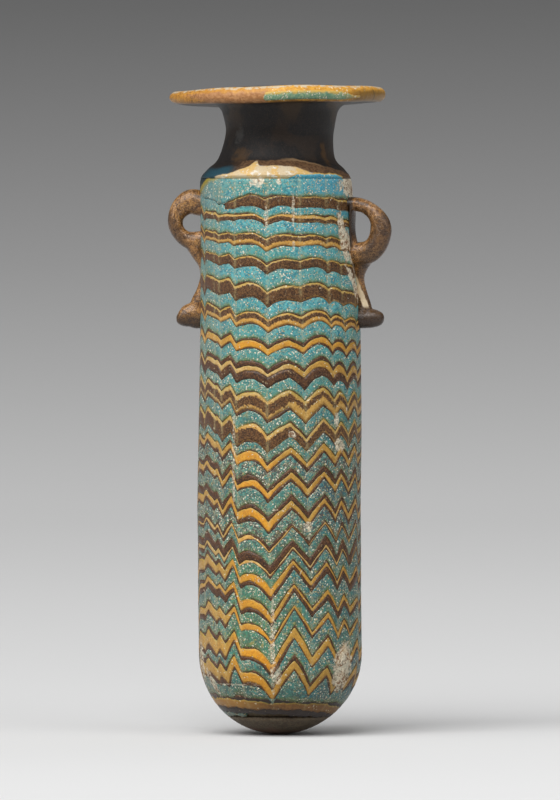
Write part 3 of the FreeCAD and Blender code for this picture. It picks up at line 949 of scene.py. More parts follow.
class SharedEffects:
    """The shader groups that more than one finish uses."""

    patches: tuple[Patch, ...] = (
        Patch(-10, 127.6, 1.5, 3.0, 0.8, 0, 0.6),
        Patch(10, 129.2, 1.2, 4.0, 0.7, 0, 0.7),
        Patch(10, 120.4, 1.1, 1.4, 0.6, 0, 0.5),
        # painted highlight: the white glare on the shoulder, left of the middle
        Patch(-17, 136.4, 6.5, 1.5, 1.0, 0, 0.5),
        Patch(-0.5, 136.2, 2.0, 0.9, 1.0, 0, 0.3),
        Patch(78, 135.4, 23, 2.7, 0.95),
        Patch(56.0, 122.8, 5.5, 6.5, 1.0, 0.6, 0.2),
        Patch(66, 119.5, 4.0, 5.0, 1.0, 1.0, 0.2),
        Patch(72, 115.5, 3.0, 4.0, 0.7, 0.8, 0.5),
        Patch(75, 109.5, 6.0, 6.0, 1.0, 2.6),
        Patch(8.5, 74.4, 2.6, 1.0, 1.0, 0.8, 0.6),
        Patch(44, 78.0, 2.2, 1.5, 1.0, 0, 0.5),
        Patch(47, 71.6, 4.5, 1.7, 1.0, 0.6, 0.5),
        Patch(20, 51.6, 3.6, 1.4, 1.0, 0, 0.8),
        Patch(-5, 22, 1.8, 12, 0.9, 0, 0.9),
        Patch(-2, 15.5, 3.5, 2.5, 0.7, 0, 0.7),
        Patch(51.5, 16.8, 10.5, 6.4, 1.0, 0, 0.3),
        Patch(-74, 18, 5, 5.5, 0.9, 0, 0.5),
        Patch(-61, 13.6, 4, 3.6, 1.0, 1.5, 0.5),
        Patch(-34, 68, 1.2, 12, 0.6, 0, 0.8),
        Patch(-38, 13.0, 24, 0.2, 0.45),
        Patch(150, 88, 7, 5, 0.9, 0, 0.5),
        Patch(-140, 52, 9, 4, 0.9, 0.8, 0.5),
        Patch(-165, 116, 6, 3, 0.8, 0, 0.5),
        Patch(120, 30, 10, 3.5, 0.8, 0, 0.5),
    )

    def __init__(self) -> None:
        """Builds each group once."""
        self.pits = self.pitting()
        self.wear = self.wearing()
        self.mottle = self.mottling()

    def start(self, name: str, inputs: Sequence[str], outputs: Sequence[str]) -> Entry:
        """Opens a group tree with one place socket and float sockets.

        Args:
            name: the group's name.
            inputs: names of its float inputs, after the place.
            outputs: names of its float outputs.

        Returns:
            The graph, its inputs and the node that takes its outputs.
        """
        tree = bpy.data.node_groups.new(name, "ShaderNodeTree")
        tree.interface.new_socket("Place", in_out="INPUT", socket_type="NodeSocketVector")
        for way, labels in (("INPUT", inputs), ("OUTPUT", outputs)):
            for label in labels:
                tree.interface.new_socket(label, in_out=way, socket_type="NodeSocketFloat")
        entry = tree.nodes.new("NodeGroupInput")
        graph = Graph(tree, entry.outputs["Place"])
        return graph, graph.fields(entry), graph.node("NodeGroupOutput")

    def pitting(self) -> bpy.types.NodeTree:
        """Small burst bubbles, most of them filled white, denser in drifts, with a kind of each."""
        g, given, leave = self.start("pitting", ("Density",), ("Pits", "Dust", "Kind"))
        drift = g.noise(0.25, 3.0, 0.5).step(0.34, 0.64)
        amount = given["Density"] * (drift * 0.7 + 0.55)
        stirred = g.stirred(1.4, 0.9)
        for scale, width, output in ((1.6, 0.38, "Pits"), (2.9, 0.42, "Dust")):
            distance, chance = g.cells(stirred, scale)
            draw, kind, _ = g.parts(chance)
            size = g.math("SUBTRACT", amount, draw, clamp=True) * 1.6
            size = g.math("MINIMUM", size, width)
            g.feed(leave.inputs[output], distance.step(size, size - 0.13))
            if output == "Pits":
                g.feed(leave.inputs["Kind"], kind)
        return g.tree

    def wearing(self) -> bpy.types.NodeTree:
        """Worn and crusted patches at their own places, one of them a painted highlight on the
        shoulder, with ragged edges, and a pale veil.
        """
        g, given, leave = self.start("wear", ("Flecks",), ("Bare", "Veil", "Crust"))
        ragged = g.fray(1.5, 0.9, 4.0)
        flecked = g.noise(1.5, 4.0, 0.8).step(0.44, 0.56)
        masks = []
        for patch in self.patches:
            down = patch.height - g.height
            across = (g.azimuth - down * patch.slant - patch.azimuth) / patch.wide
            along = down / patch.tall
            far = g.math("SQRT", across * across + along * along)
            mask = (far + ragged).step(1.08, 0.8) * patch.strength
            if patch.broken:
                mask = mask * (flecked * patch.broken + (1 - patch.broken))
            masks.append(mask)
        masks.append(g.noise(0.55, 5.0, 0.6).step(0.70, 0.74) * given["Flecks"])
        g.feed(leave.inputs["Bare"], g.most(*masks))
        g.feed(leave.inputs["Crust"], g.noise(1.1, 5.0, 1.0).step(0.38, 0.54))
        g.feed(leave.inputs["Veil"], g.azimuth.band(-178.0, -120.0, -62.0, -30.0))
        return g.tree

    def mottling(self) -> bpy.types.NodeTree:
        """Cloudy and streaky colour changes of hand-made glass, and a grain."""
        g, _, leave = self.start("mottle", (), ("Cloud", "Streak", "Grain"))
        g.feed(leave.inputs["Cloud"], g.noise(0.13, 3.0, 0.4).step(0.32, 0.68))
        g.feed(leave.inputs["Streak"], g.noise(0.85, 4.0, 1.6).step(0.34, 0.66))
        g.feed(leave.inputs["Grain"], g.noise(3.2, 4.0))
        return g.tree


class Finish:
    """What every finish of the bottle shares: a material whose shader it fills in."""

    name: str
    roughness: float
    coat: float
    shine: float = 0.35

    def material(self, effects: SharedEffects) -> bpy.types.Material:
        """Makes the finish.

        Args:
            effects: the shared shader groups.

        Returns:
            The material.
        """
        made = bpy.data.materials.new(self.name)
        made.use_nodes = True
        inputs = made.node_tree.nodes["Principled BSDF"].inputs
        inputs["Coat Weight"].default_value = self.coat
        inputs["Coat Roughness"].default_value = 0.22
        inputs["IOR"].default_value = 1.5
        inputs["Specular IOR Level"].default_value = self.shine
        self.paint(Coat(made.node_tree, effects))
        return made

    def paint(self, g: Coat) -> None:
        """Lays the colours and feeds the shader."""
        raise NotImplementedError


@dataclass(frozen=True)
class TurquoiseGlass(Finish):
    """Opaque turquoise with white-filled pits, green where it meets the yellow below."""

    name: str = "turquoise_glass"
    roughness: float = 0.4
    coat: float = 0.05
    pits: float = 0.9

    def paint(self, g: Coat) -> None:
        """Lays the colours and feeds the shader."""
        pits = g.pits(g.layer("speckle") * 0.5 + self.pits)
        wear = g.wear(0.8)
        self.glass(g, wear)
        ochre = g.noise(0.8, 4.0).step(0.6, 0.68)
        g.lay((178, 156, 84), ochre, g.layer("green") * 0.5 + 0.15)
        g.lay((184, 188, 156), pits["Dust"], 0.65)
        filling = g.mix(pits["Kind"].step(0.45, 0.9), (238, 232, 210), (186, 168, 116))
        g.lay(filling, pits["Pits"], 0.92)
        g.lay((196, 190, 150), g.layer("drawn"), wear["Crust"], 0.35)
        g.wear_off(wear)
        self.shoulder(g)
        relief = g.grain * 0.4 - pits["Pits"] - wear["Bare"] * 0.6
        g.finish(self.roughness, g.most(pits["Pits"], wear["Bare"]), relief, 0.1)

    def glass(self, g: Coat, wear: Fields) -> None:
        """The glass before pits and wear: bluer high up, greener and speckled by the turn."""
        high = g.height.step(60.0, 112.0)
        deep = g.mix(high, (30, 84, 96), (40, 126, 148))
        light = g.mix(high, (84, 148, 146), (104, 188, 194))
        g.body = g.streaked(deep, light)
        right = g.azimuth.band(5.0, 40.0, 100.0, 170.0)
        g.lay((76, 176, 210), right, g.height.step(112.0, 134.0), 0.6)
        g.lay((46, 98, 122), right, g.height.step(84.0, 56.0), 0.6)
        g.lay((92, 146, 124), g.cloud, 0.4)
        festoon = g.azimuth.band(-42.0, -32.0, -6.0, 8.0)
        g.lay((76, 136, 96), g.layer("green"), festoon * 0.5 + 0.3)
        g.lay((122, 138, 130), wear["Veil"], 0.5)
        edge, halo = g.frayed(0.55), g.layer("halo")
        g.lay((116, 132, 66), edge.step(0.6, 1.05), halo, 0.85)
        g.lay((66, 84, 76), edge.step(0.2, -0.12), halo, 0.7)
        dark = g.noise(1.1, 5.0, 1.0).step(0.44, 0.56)
        low = g.height.step(84.0, 66.0) * 0.35
        g.lay((82, 68, 64), dark, g.math("ADD", g.layer("speckle"), low, clamp=True), 0.85)
        g.lay((56, 70, 70), g.height.step(6.0, 4.0))

    def shoulder(self, g: Coat) -> None:
        """Darkens the far left of the shoulder above a thin olive line."""
        line = 138.0 - g.azimuth.step(-55.0, -92.0) * 3.8
        over = g.height - line + g.fray(1.2, 0.8, 3.0)
        left = g.azimuth.band(-125.0, -110.0, -54.0, -48.0)
        g.lay((160, 142, 58), over.step(-2.0, -0.3), left)
        g.lay((36, 50, 54), over.step(0.1, 0.6), left)


@dataclass(frozen=True)
class YellowGlass(Finish):
    """Opaque yellow, cream to orange by the turn, with a brown core in some turns."""

    name: str = "yellow_glass"
    roughness: float = 0.46
    coat: float = 0.08

    def paint(self, g: Coat) -> None:
        """Lays the colours and feeds the shader."""
        pits, wear = g.pits(0.4), g.wear(0.9)
        self.glass(g, wear)
        edge = g.frayed(0.4)
        g.lay((146, 136, 62), edge.step(0.28, -0.1), 0.75)
        g.lay((132, 86, 42), edge.step(0.78, 1.1), 0.7)
        core = self.core(g, edge)
        g.lay(self.brown(g, wear), core)
        clear = 1.0 - core * 0.85
        g.lay((150, 112, 62), pits["Dust"], clear, 0.45)
        g.lay((236, 222, 186), pits["Pits"], clear, 0.8)
        g.lay((214, 196, 140), g.layer("drawn"), wear["Crust"], 0.3)
        g.wear_off(wear)
        g.finish(self.roughness, wear["Bare"], g.grain * 0.5 - pits["Pits"], 0.08)

    def glass(self, g: Coat, wear: Fields) -> None:
        """The glass before its core and wear, brightest in the festoon left of the middle."""
        festoon = g.azimuth.band(-40.0, -30.0, -10.0, 2.0)
        bright = g.most(g.height.step(88.0, 100.0) * 0.7, festoon)
        dull = g.streaked((208, 158, 66), (180, 130, 50))
        vivid = g.streaked((234, 166, 44), (214, 142, 38))
        pale = g.streaked((226, 202, 148), (206, 170, 100))
        g.body = g.mix(g.layer("warmth"), pale, g.mix(bright, dull, vivid))
        g.lay((206, 170, 116), wear["Veil"], 0.4)
        g.lay((166, 136, 70), g.cloud, 0.3)
        g.lay((120, 84, 40), g.grain.step(0.5, 0.68), 0.35)
        golden = g.azimuth.band(-130.0, -90.0, -40.0, -2.0) * 0.8 + g.cloud * 0.2
        low = g.mix(golden, g.streaked((104, 70, 36), (142, 100, 52)), (186, 134, 62))
        g.lay(low, g.height.step(10.5, 9.0))

    def core(self, g: Coat, across: Field) -> Field:
        """The mask of the brown core, between its start and end across the thread."""
        start, end = g.layer("core_start"), g.layer("core_end")
        inside = across.step(start - 0.03, start + 0.06)
        beyond = across.step(end + 0.03, end - 0.06)
        return inside * beyond * (end - start).step(0.08, 0.2)

    def brown(self, g: Coat, wear: Fields) -> Field:
        """The core's brown, as the brown threads have it."""
        tone = g.streaked((58, 35, 18), (100, 65, 33))
        tone = g.mix(g.grain.step(0.48, 0.62) * 0.65, tone, (136, 100, 60))
        tone = g.mix(g.grain.step(0.46, 0.36) * 0.7, tone, (44, 28, 20))
        return g.mix(wear["Veil"] * 0.5, tone, (102, 74, 62))


@dataclass(frozen=True)
class BrownGlass(Finish):
    """The dark brown ground glass that shows between the coloured threads."""

    name: str = "brown_glass"
    roughness: float = 0.45
    coat: float = 0.1

    def paint(self, g: Coat) -> None:
        """Lays the colours and feeds the shader."""
        pits, wear = g.pits(0.3), g.wear(0.7)
        g.body = g.streaked((48, 27, 14), (86, 53, 27))
        g.lay((134, 94, 56), g.grain.step(0.5, 0.64), 0.6)
        g.lay((98, 72, 60), wear["Veil"], 0.5)
        g.lay((42, 30, 24), g.height.step(10.5, 9.0))
        g.lay((196, 176, 140), pits["Pits"], 0.5)
        g.wear_off(wear)
        g.finish(self.roughness, wear["Bare"], g.grain, 0.07)


@dataclass(frozen=True)
class GroundGlass(Finish):
    """The bare ground glass of neck, rim and base: near black, brown at the shoulder."""

    name: str = "ground_glass"
    roughness: float = 0.56
    coat: float = 0.0
    rust_left: Patch = Patch(-40, 143.0, 11, 2.0, 0.5)
    rust_right: Patch = Patch(52, 143.6, 5.0, 3.2, 0.6)
    # a painted sheen on the left of the neck
    neck_sheen: Patch = Patch(-47, 147.8, 6.5, 2.4, 0.35)

    def paint(self, g: Coat) -> None:
        """Lays the colours and feeds the shader."""
        g.body = g.streaked((18, 16, 16), (33, 28, 26))
        g.lay((84, 68, 54), g.grain.step(0.54, 0.7), 0.4)
        g.lay((66, 50, 36), g.cloud.step(0.6, 1.0), 0.4)
        self.neck(g)
        self.mouth(g)
        self.shoulder(g)
        self.foot(g)
        g.finish(self.roughness, 0.0, g.grain, 0.09)

    def neck(self, g: Coat) -> None:
        """The neck's colour: brown under the rim and two rusty blots, with a grey painted sheen on
        its left.
        """
        g.lay((82, 66, 50), g.height.step(149.5, 154.0), g.cloud.step(0.3, 0.8), 0.55)
        g.lay((98, 68, 30), g.most(g.blot(self.rust_left), g.blot(self.rust_right)))
        # painted sheen: a grey blot on the neck's left
        g.lay((108, 106, 104), g.blot(self.neck_sheen))

    def shoulder(self, g: Coat) -> None:
        """The end of the winding: brown on the right, dark teal on the left, cream between, and
        the yellow and turquoise lips that climb on the right."""
        level = g.height + g.fray(1.5, 0.3, 2.0)
        edge = 141.4 - g.azimuth.step(5.0, 85.0) * 2.9
        brown = g.streaked((78, 54, 34), (116, 86, 58))
        g.lay(brown, level.step(edge + 0.3, edge), g.azimuth.step(-46.0, -26.0))
        line = (level - edge).band(-0.15, 0.1, 0.25, 0.5)
        g.lay((170, 138, 100), line, g.azimuth.band(-4.0, 16.0, 30.0, 50.0), 0.6)
        left = g.azimuth.band(-96.0, -62.0, -46.0, -34.0)
        g.lay((28, 72, 86), level.step(140.4, 139.2), left, 0.85)
        g.lay(self.cream(g), self.crest(g, level))
        lip = g.azimuth.band(2.0, 16.0, 50.0, 74.0) * 1.6 + 136.5
        g.lay((206, 168, 84), level.step(lip + 0.35, lip + 0.15))
        glass = g.streaked((74, 158, 186), (112, 198, 216))
        glass = g.mix(g.pits(0.9)["Pits"] * 0.9, glass, (236, 228, 204))
        g.lay(glass, level.step(lip + 0.1, lip - 0.1))

    def crest(self, g: Coat, level: Field) -> Field:
        """The mask of the cream band: a thin tail on the left, a spur, then a long fall."""
        tail = g.azimuth.step(-62.0, -46.0) * 0.9
        rise = g.azimuth.step(-44.0, -26.0) * 2.0
        spur = g.azimuth.band(-27.0, -22.0, -21.0, -16.0) * 1.2
        top = (tail + rise + spur) * g.azimuth.step(46.0, 4.0) + 137.1
        return level.step(top + 0.25, top - 0.15)

    def cream(self, g: Coat) -> Field:
        """The cream band's own colour, yellower in clouds and worn whitish in others."""
        tone = g.mix(g.cloud * 0.5, (220, 202, 170), (214, 176, 108))
        tone = g.mix(g.noise(0.35, 4.0).step(0.52, 0.6) * 0.7, tone, (226, 180, 92))
        tone = g.mix(g.noise(0.6, 4.0).step(0.54, 0.62), tone, (236, 228, 212))
        return g.mix(g.grain.step(0.55, 0.7) * 0.5, tone, (168, 132, 92))

    def mouth(self, g: Coat) -> None:
        """The whitish and ochre crust on the top of the rim disc, most of it near the edge."""
        edge = g.reach.step(14.0, 25.0) * g.height.step(158.2, 158.6)
        ragged = (g.noise(0.4, 5.0, 0.6) + edge * 0.2).step(0.58, 0.7)
        g.lay((178, 166, 144), ragged, edge)
        ochre = (g.noise(0.22, 4.0) + edge * 0.18).step(0.62, 0.7)
        g.lay((150, 108, 56), ochre, edge, 0.8)

    def foot(self, g: Coat) -> None:
        """The base below the winding: grey brown, going reddish brown at the pole."""
        tone = g.streaked((76, 66, 52), (112, 100, 80))
        tone = g.mix(g.grain.step(0.5, 0.62) * 0.5, tone, (110, 80, 54))
        tone = g.mix((g.height + g.cloud).step(2.8, 1.4), tone, (116, 88, 72))
        g.lay(tone, g.height.step(60.0, 20.0))


@dataclass(frozen=True)
class HandleGlass(Finish):
    """Brown glass with a fine grain and a soft gloss, golden in flecks that are partly its own tone
    and partly painted highlights, with painted light on the loops' tops and the right tail's flank,
    and painted shade under the loops and knobs and where they meet the wall.
    """

    name: str = "handle_glass"
    roughness: float = 0.3
    coat: float = 0.25
    shine: float = 0.4

    def paint(self, g: Coat) -> None:
        """Lays the colours and feeds the shader."""
        height = g.height
        g.body = g.streaked((92, 58, 28), (172, 124, 72))
        # golden flecks: partly the glass's own tone, partly painted highlights
        g.lay((198, 148, 84), g.grain.step(0.46, 0.62), g.cloud.step(0.1, 0.9), 0.8)
        g.lay((46, 30, 20), g.grain.step(0.46, 0.36), 0.45)
        dark = g.noise(0.45, 4.0, 0.0, g.stirred(0.4, 3.0)).step(0.52, 0.64)
        g.lay((54, 35, 22), dark, 0.6)
        # painted light: pale patches over the loops above 118 mm, standing for the lamps' light on
        # their tops
        pale = g.noise(0.6, 4.0, 3.0, g.stirred(0.5, 2.0)).step(0.56, 0.66)
        g.lay((206, 168, 132), pale, height.step(118.0, 124.0), 0.7)
        # painted shade: near black where the handles and their root pads meet the wall above 119 mm
        g.lay((30, 20, 15), g.reach.step(20.0, 19.2), height.step(119.0, 121.0), 0.9)
        # painted shade on the lower, outer part of each loop
        loop_underside = height - 121.0 - (g.reach - 23.0) * 2.0
        g.lay((42, 28, 20), loop_underside.step(2.0, -2.0), height.step(111.0, 115.0), 0.65)
        # painted shade: dark below about 105 mm, under the knobs and at the tails' feet
        g.lay((38, 25, 17), height.step(105.2, 102.4), 0.8)
        # painted shade over the right handle's tail between 106 and 112 mm
        g.lay((46, 30, 18), height.step(112.0, 106.0), g.x.step(-1.0, 1.0), 0.75)
        # painted highlight in a weathered cream, along the left flank of the right handle's tail
        middle = (112.5 - height) * 0.42 + 18.5
        worn = (abs(g.x - middle) + g.fray(0.9, 0.8, 3.0)).step(0.85, 0.55)
        g.lay((226, 204, 168), worn, height.band(105.2, 106.2, 113.6, 114.6))
        g.finish(self.roughness, 0.0, g.grain * 0.6 + g.streak * 0.4, 0.12)


@dataclass(frozen=True)
class RimGlass(Finish):
    """The ochre edge of the rim disc, pinkish on its left half, whitish along its top."""

    name: str = "rim_yellow_glass"
    roughness: float = 0.45
    coat: float = 0.1

    def paint(self, g: Coat) -> None:
        """Lays the colours and feeds the shader."""
        azimuth = g.azimuth
        g.body = g.streaked((232, 172, 62), (200, 138, 48))
        g.lay((240, 226, 190), g.pits(0.5)["Pits"], azimuth.step(-8.0, -2.0), 0.8)
        level = g.layer("level") + g.fray(0.5, 0.5, 4.0)
        beyond = azimuth.band(-170.0, -120.0, -8.0, -5.0)
        g.lay((182, 122, 58), beyond, 0.45)
        pink = g.streaked((200, 146, 98), (170, 116, 70))
        slanted = (azimuth + level * 30.0).step(-46.0, -34.0)
        g.lay(pink, azimuth.step(-5.0, -8.0), slanted, level.step(0.8, 0.6), 0.95)
        folds = g.noise(0.7, 3.0, 1.5, g.stirred(0.3, 6.0)).band(0.47, 0.5, 0.52, 0.55)
        g.lay((84, 52, 26), folds, azimuth.step(-30.0, -60.0), beyond, 0.8)
        g.lay((104, 70, 34), level.step(0.18, 0.04), 0.75)
        crust = g.noise(0.9, 5.0).step(0.42, 0.52)
        g.lay((206, 194, 168), crust, level.step(0.84, 0.95), 0.9)
        g.lay((44, 34, 26), g.layer("level").step(0.03, 0.0))
        crack = abs(azimuth + level * 4.0 - 66.0).step(1.3, 0.6)
        g.lay((52, 34, 18), crack, level.step(0.9, 0.6), 0.7)
        olive = azimuth.band(34.0, 50.0, 70.0, 110.0)
        g.lay((122, 92, 36), olive, level.step(0.85, 0.55), 0.75)
        g.finish(self.roughness, 0.0, g.streak + g.grain, 0.05)


@dataclass(frozen=True)
class RimStripGlass(Finish):
    """The turquoise strip on the rim, half drowned in yellow."""

    name: str = "rim_turquoise_glass"
    roughness: float = 0.42
    coat: float = 0.14

    def paint(self, g: Coat) -> None:
        """Lays the colours and feeds the shader."""
        pits = g.pits(0.9)["Pits"]
        fray = g.fray(0.4, 0.9, 4.0)
        g.body = g.streaked((98, 142, 118), (150, 176, 136))
        g.lay((214, 172, 78), (g.layer("level") + fray).step(0.42, 0.62), 0.9)
        g.lay((206, 160, 74), (g.azimuth + fray * 30.0).step(34.0, 48.0), 0.8)
        g.lay((238, 230, 206), pits, 0.9)
        g.finish(self.roughness, pits, g.grain - pits, 0.09)


# ---------------------------------------------------------------- pieces


@dataclass
class ThreadPiece:
    """One thread of the winding: its edges, its length in turns and its section's count."""

    name: str
    finish: Finish
    head: int
    foot: int
    lap: float  # turns that its upper edge is taken from above
    start: float
    end: float
    across: int
    crown: float = 0.05  # how far its middle stands proud of its edges
    coarse: int = 24  # steps of a turn when it is spun
    finer: int = 15  # each step is then cut into so many

    def build(self, effects: SharedEffects) -> bpy.types.Object:
        """Winds the thread, combs it and lays it in the skin.

        Args:
            effects: the shared shader groups.

        Returns:
            The thread.
        """
        mesh = to_mesh(self.wound(), self.name)
        across, depth = read_layer(mesh, "across"), read_layer(mesh, "depth")
        turn = self.start + places(mesh)[:, 2]
        azimuth = azimuth_of(turn)
        head, foot = self.edges(turn)
        laid = head + (foot - head) * across
        height = settle(azimuth, laid)
        crown = self.crown * (1 - (2 * across - 1) ** 2)
        depth = depth * BODY.skin - (BODY.relief(azimuth, height) + crown) * (1 - depth)
        replace_places(mesh, BODY.point(azimuth, height, depth))
        self.note(mesh, turn)
        face_outwards(mesh)
        piece = hand_over(self.name, mesh, self.finish.material(effects))
        return self.join(piece)

    def join(self, piece: bpy.types.Object) -> bpy.types.Object:
        """Puts the piece on the bottle in place of its solid."""
        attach(piece, "root")
        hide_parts(self.name)
        return piece

    def wound(self) -> bmesh.types.BMesh:
        """A closed strip round the axis whose height counts its turns."""
        bm = bmesh.new()
        across = bm.verts.layers.float.new("across")
        depth = bm.verts.layers.float.new("depth")
        bmesh.ops.create_circle(bm, cap_ends=True, segments=self.across + 2, radius=1)
        for count, vert in enumerate(bm.verts):
            outside = count < self.across
            vert[depth] = 0.0 if outside else 1.0
            vert[across] = count / (self.across - 1) if outside else float(count == self.across)
            vert.co = Vector((10 - vert[depth], 0, 0.001 * vert[across]))
        turns = self.end - self.start
        steps = max(int(turns * self.coarse), 1)
        bmesh.ops.spin(
            bm,
            geom=bm.verts[:] + bm.edges[:] + bm.faces[:],
            cent=(0, 0, 0),
            axis=(0, 0, 1),
            dvec=(0, 0, turns / steps),
            angle=2 * math.pi * turns,
            steps=steps,
            use_duplicate=False,
        )
        long = [e for e in bm.edges if abs(e.verts[0].co.z - e.verts[1].co.z) > 0.01]
        bmesh.ops.subdivide_edges(bm, edges=long, cuts=self.finer - 1)
        return bm

    def edges(self, turn: Array) -> tuple[Array, Array]:
        """Laid heights of the thread's upper and lower edge, kept apart."""
        before = turn - self.lap
        head = WINDING.edge(self.head, before)
        calm = np.clip((BODY.skin_top - head) / 1.5, 0, 1)
        head = head + calm * wobble(before, self.head)
        foot = WINDING.edge(self.foot, turn) + wobble(turn, self.foot)
        return head, np.minimum(foot, head - WINDING.least)

    def note(self, mesh: bpy.types.Mesh, turn: Array) -> None:
        """Stores what the finish needs to know of each turn."""
        for name in ("warmth", "green", "speckle"):
            write_layer(mesh, name, WINDING.quality(name, turn))
        points = places(mesh) / MM
        azimuth = np.degrees(polar(points)[0])
        write_layer(mesh, "drawn", COMBING.nearness(azimuth, points[:, 2], 1.1))
        across = read_layer(mesh, "across")
        beside = turn - self.lap * (1 - across) - WINDING.first_tip
        write_layer(mesh, "halo", np.clip(beside / 0.02, 0, 1))
        write_layer(mesh, "core_start", WINDING.core(0, turn))
        write_layer(mesh, "core_end", WINDING.core(1, turn))


@dataclass
class Winder:
    """All four threads, turquoise, yellow and the brown on both sides of the yellow."""

    last: float = 21.85

    def build(self, effects: SharedEffects) -> list[bpy.types.Object]:
        """Winds every thread.

        Args:
            effects: the shared shader groups.

        Returns:
            The threads.
        """
        tip, last = WINDING.first_tip, self.last
        turquoise, yellow, brown = TurquoiseGlass(), YellowGlass(), BrownGlass()
        threads = (
            ThreadPiece("turquoise_trail", turquoise, 3, 0, 1.0, 0.56, 21.95, 8),
            ThreadPiece("brown_trail_upper", brown, 0, 1, 0.0, tip, last, 4),
            ThreadPiece("yellow_trail", yellow, 1, 2, 0.0, tip, last, 6),
            ThreadPiece("brown_trail_lower", brown, 2, 3, 0.0, tip, last, 4),
        )
        return [thread.build(effects) for thread in threads]


@dataclass
class Vessel:
    """The wall of the bottle, bare at neck and shoulder, and the disc that closes its base."""

    rim_underside: float = 156.4
    bore: float = 9.0
    bore_foot: float = 142.0
    wall: float = 2.7
    base: float = 3.4
    gap: float = 0.03  # between the wall and the winding that lies on it
    steps: int = 128
    neck: tuple[tuple[float, float], ...] = field(
        default=(
            (18.66, 137.6), (18.2, 138.5), (17.5, 139.3), (16.6, 140.3), (15.4, 141.3),
            (14.6, 142.4), (14.1, 143.8), (13.8, 145.2), (13.5, 147.1), (13.4, 149.2),
            (13.7, 151.4), (14.1, 153.2), (14.5, 154.4), (15.3, 155.4), (16.4, 156.0),
            (17.6, 156.4),
        )
    )

    def build(self, effects: SharedEffects) -> list[bpy.types.Object]:
        """Turns the wall and the base disc.

        Args:
            effects: the shared shader groups.

        Returns:
            The two pieces.
        """
        finish = GroundGlass().material(effects)
        return [self.turned("vessel_wall", self.wall_outline(), finish), self.base_disc(finish)]

    def turned(self, name: str, outline: Array, finish: bpy.types.Material) -> bpy.types.Object:
        """Turns one outline into its piece and puts it on the bottle."""
        mesh = to_mesh(lathe(outline, self.steps), name)
        leaned(mesh)
        face_outwards(mesh)
        piece = hand_over(name, mesh, finish)
        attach(piece, "root")
        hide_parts(name)
        return piece

    def skin_line(self, heights: Array, depth: float) -> Array:
        """Radius and height of a line under the skin at a depth."""
        out, up = BODY.slope(heights)
        return np.stack([BODY.wall(heights) - depth * out, heights - depth * up], axis=1)

    def wall_outline(self) -> Array:
        """The wall's section, from the neck's head down the outside and up the cavity."""
        neck = smooth_line(self.neck[::-1], 3)
        under = self.skin_line(np.array([137.4, 136.3, 120, 95, 70, 45, 20.2]), BODY.skin + self.gap)
        turns = np.radians(np.arange(-10, -90, -10.0))
        dome = BODY.radius - BODY.skin - self.gap
        round_base = np.stack([dome * np.cos(turns), BODY.dome + dome * np.sin(turns)], axis=1)
        pole = [[0.0, BODY.dome - dome]]
        inner = BODY.radius - BODY.skin - self.wall
        floor = [[0.0, BODY.skin + self.base], [6.0, 5.3], [11.0, 9.0], [14.8, 14.0], [inner, 20.2]]
        side = [[inner - 0.6, 100.0], [inner - 1.2, 130.0], [14.2, 134.0], [11.0, 138.0]]
        side.append([self.bore, self.bore_foot])
        top = [[self.bore, self.rim_underside], [17.6, self.rim_underside]]
        rows = [neck[1:], under, round_base, pole, floor, side, top]
        return np.vstack([np.array(row) for row in rows])

    def base_disc(self, finish: bpy.types.Material) -> bpy.types.Object:
        """The small dark disc that closes the winding at the base."""
        heights = np.array([4.4, 3.7, 3.0, 2.3, 1.7, 1.2, 0.75, 0.4, 0.17, 0.04, 0.0])
        outside = self.skin_line(heights, 0.0)
        out, up = BODY.slope(heights)
        reach = (BODY.radius - BODY.skin) * out
        inside = np.stack([reach, BODY.dome + (BODY.radius - BODY.skin) * up], axis=1)[::-1]
        return self.turned("base_disc", np.vstack([outside, inside]), finish)


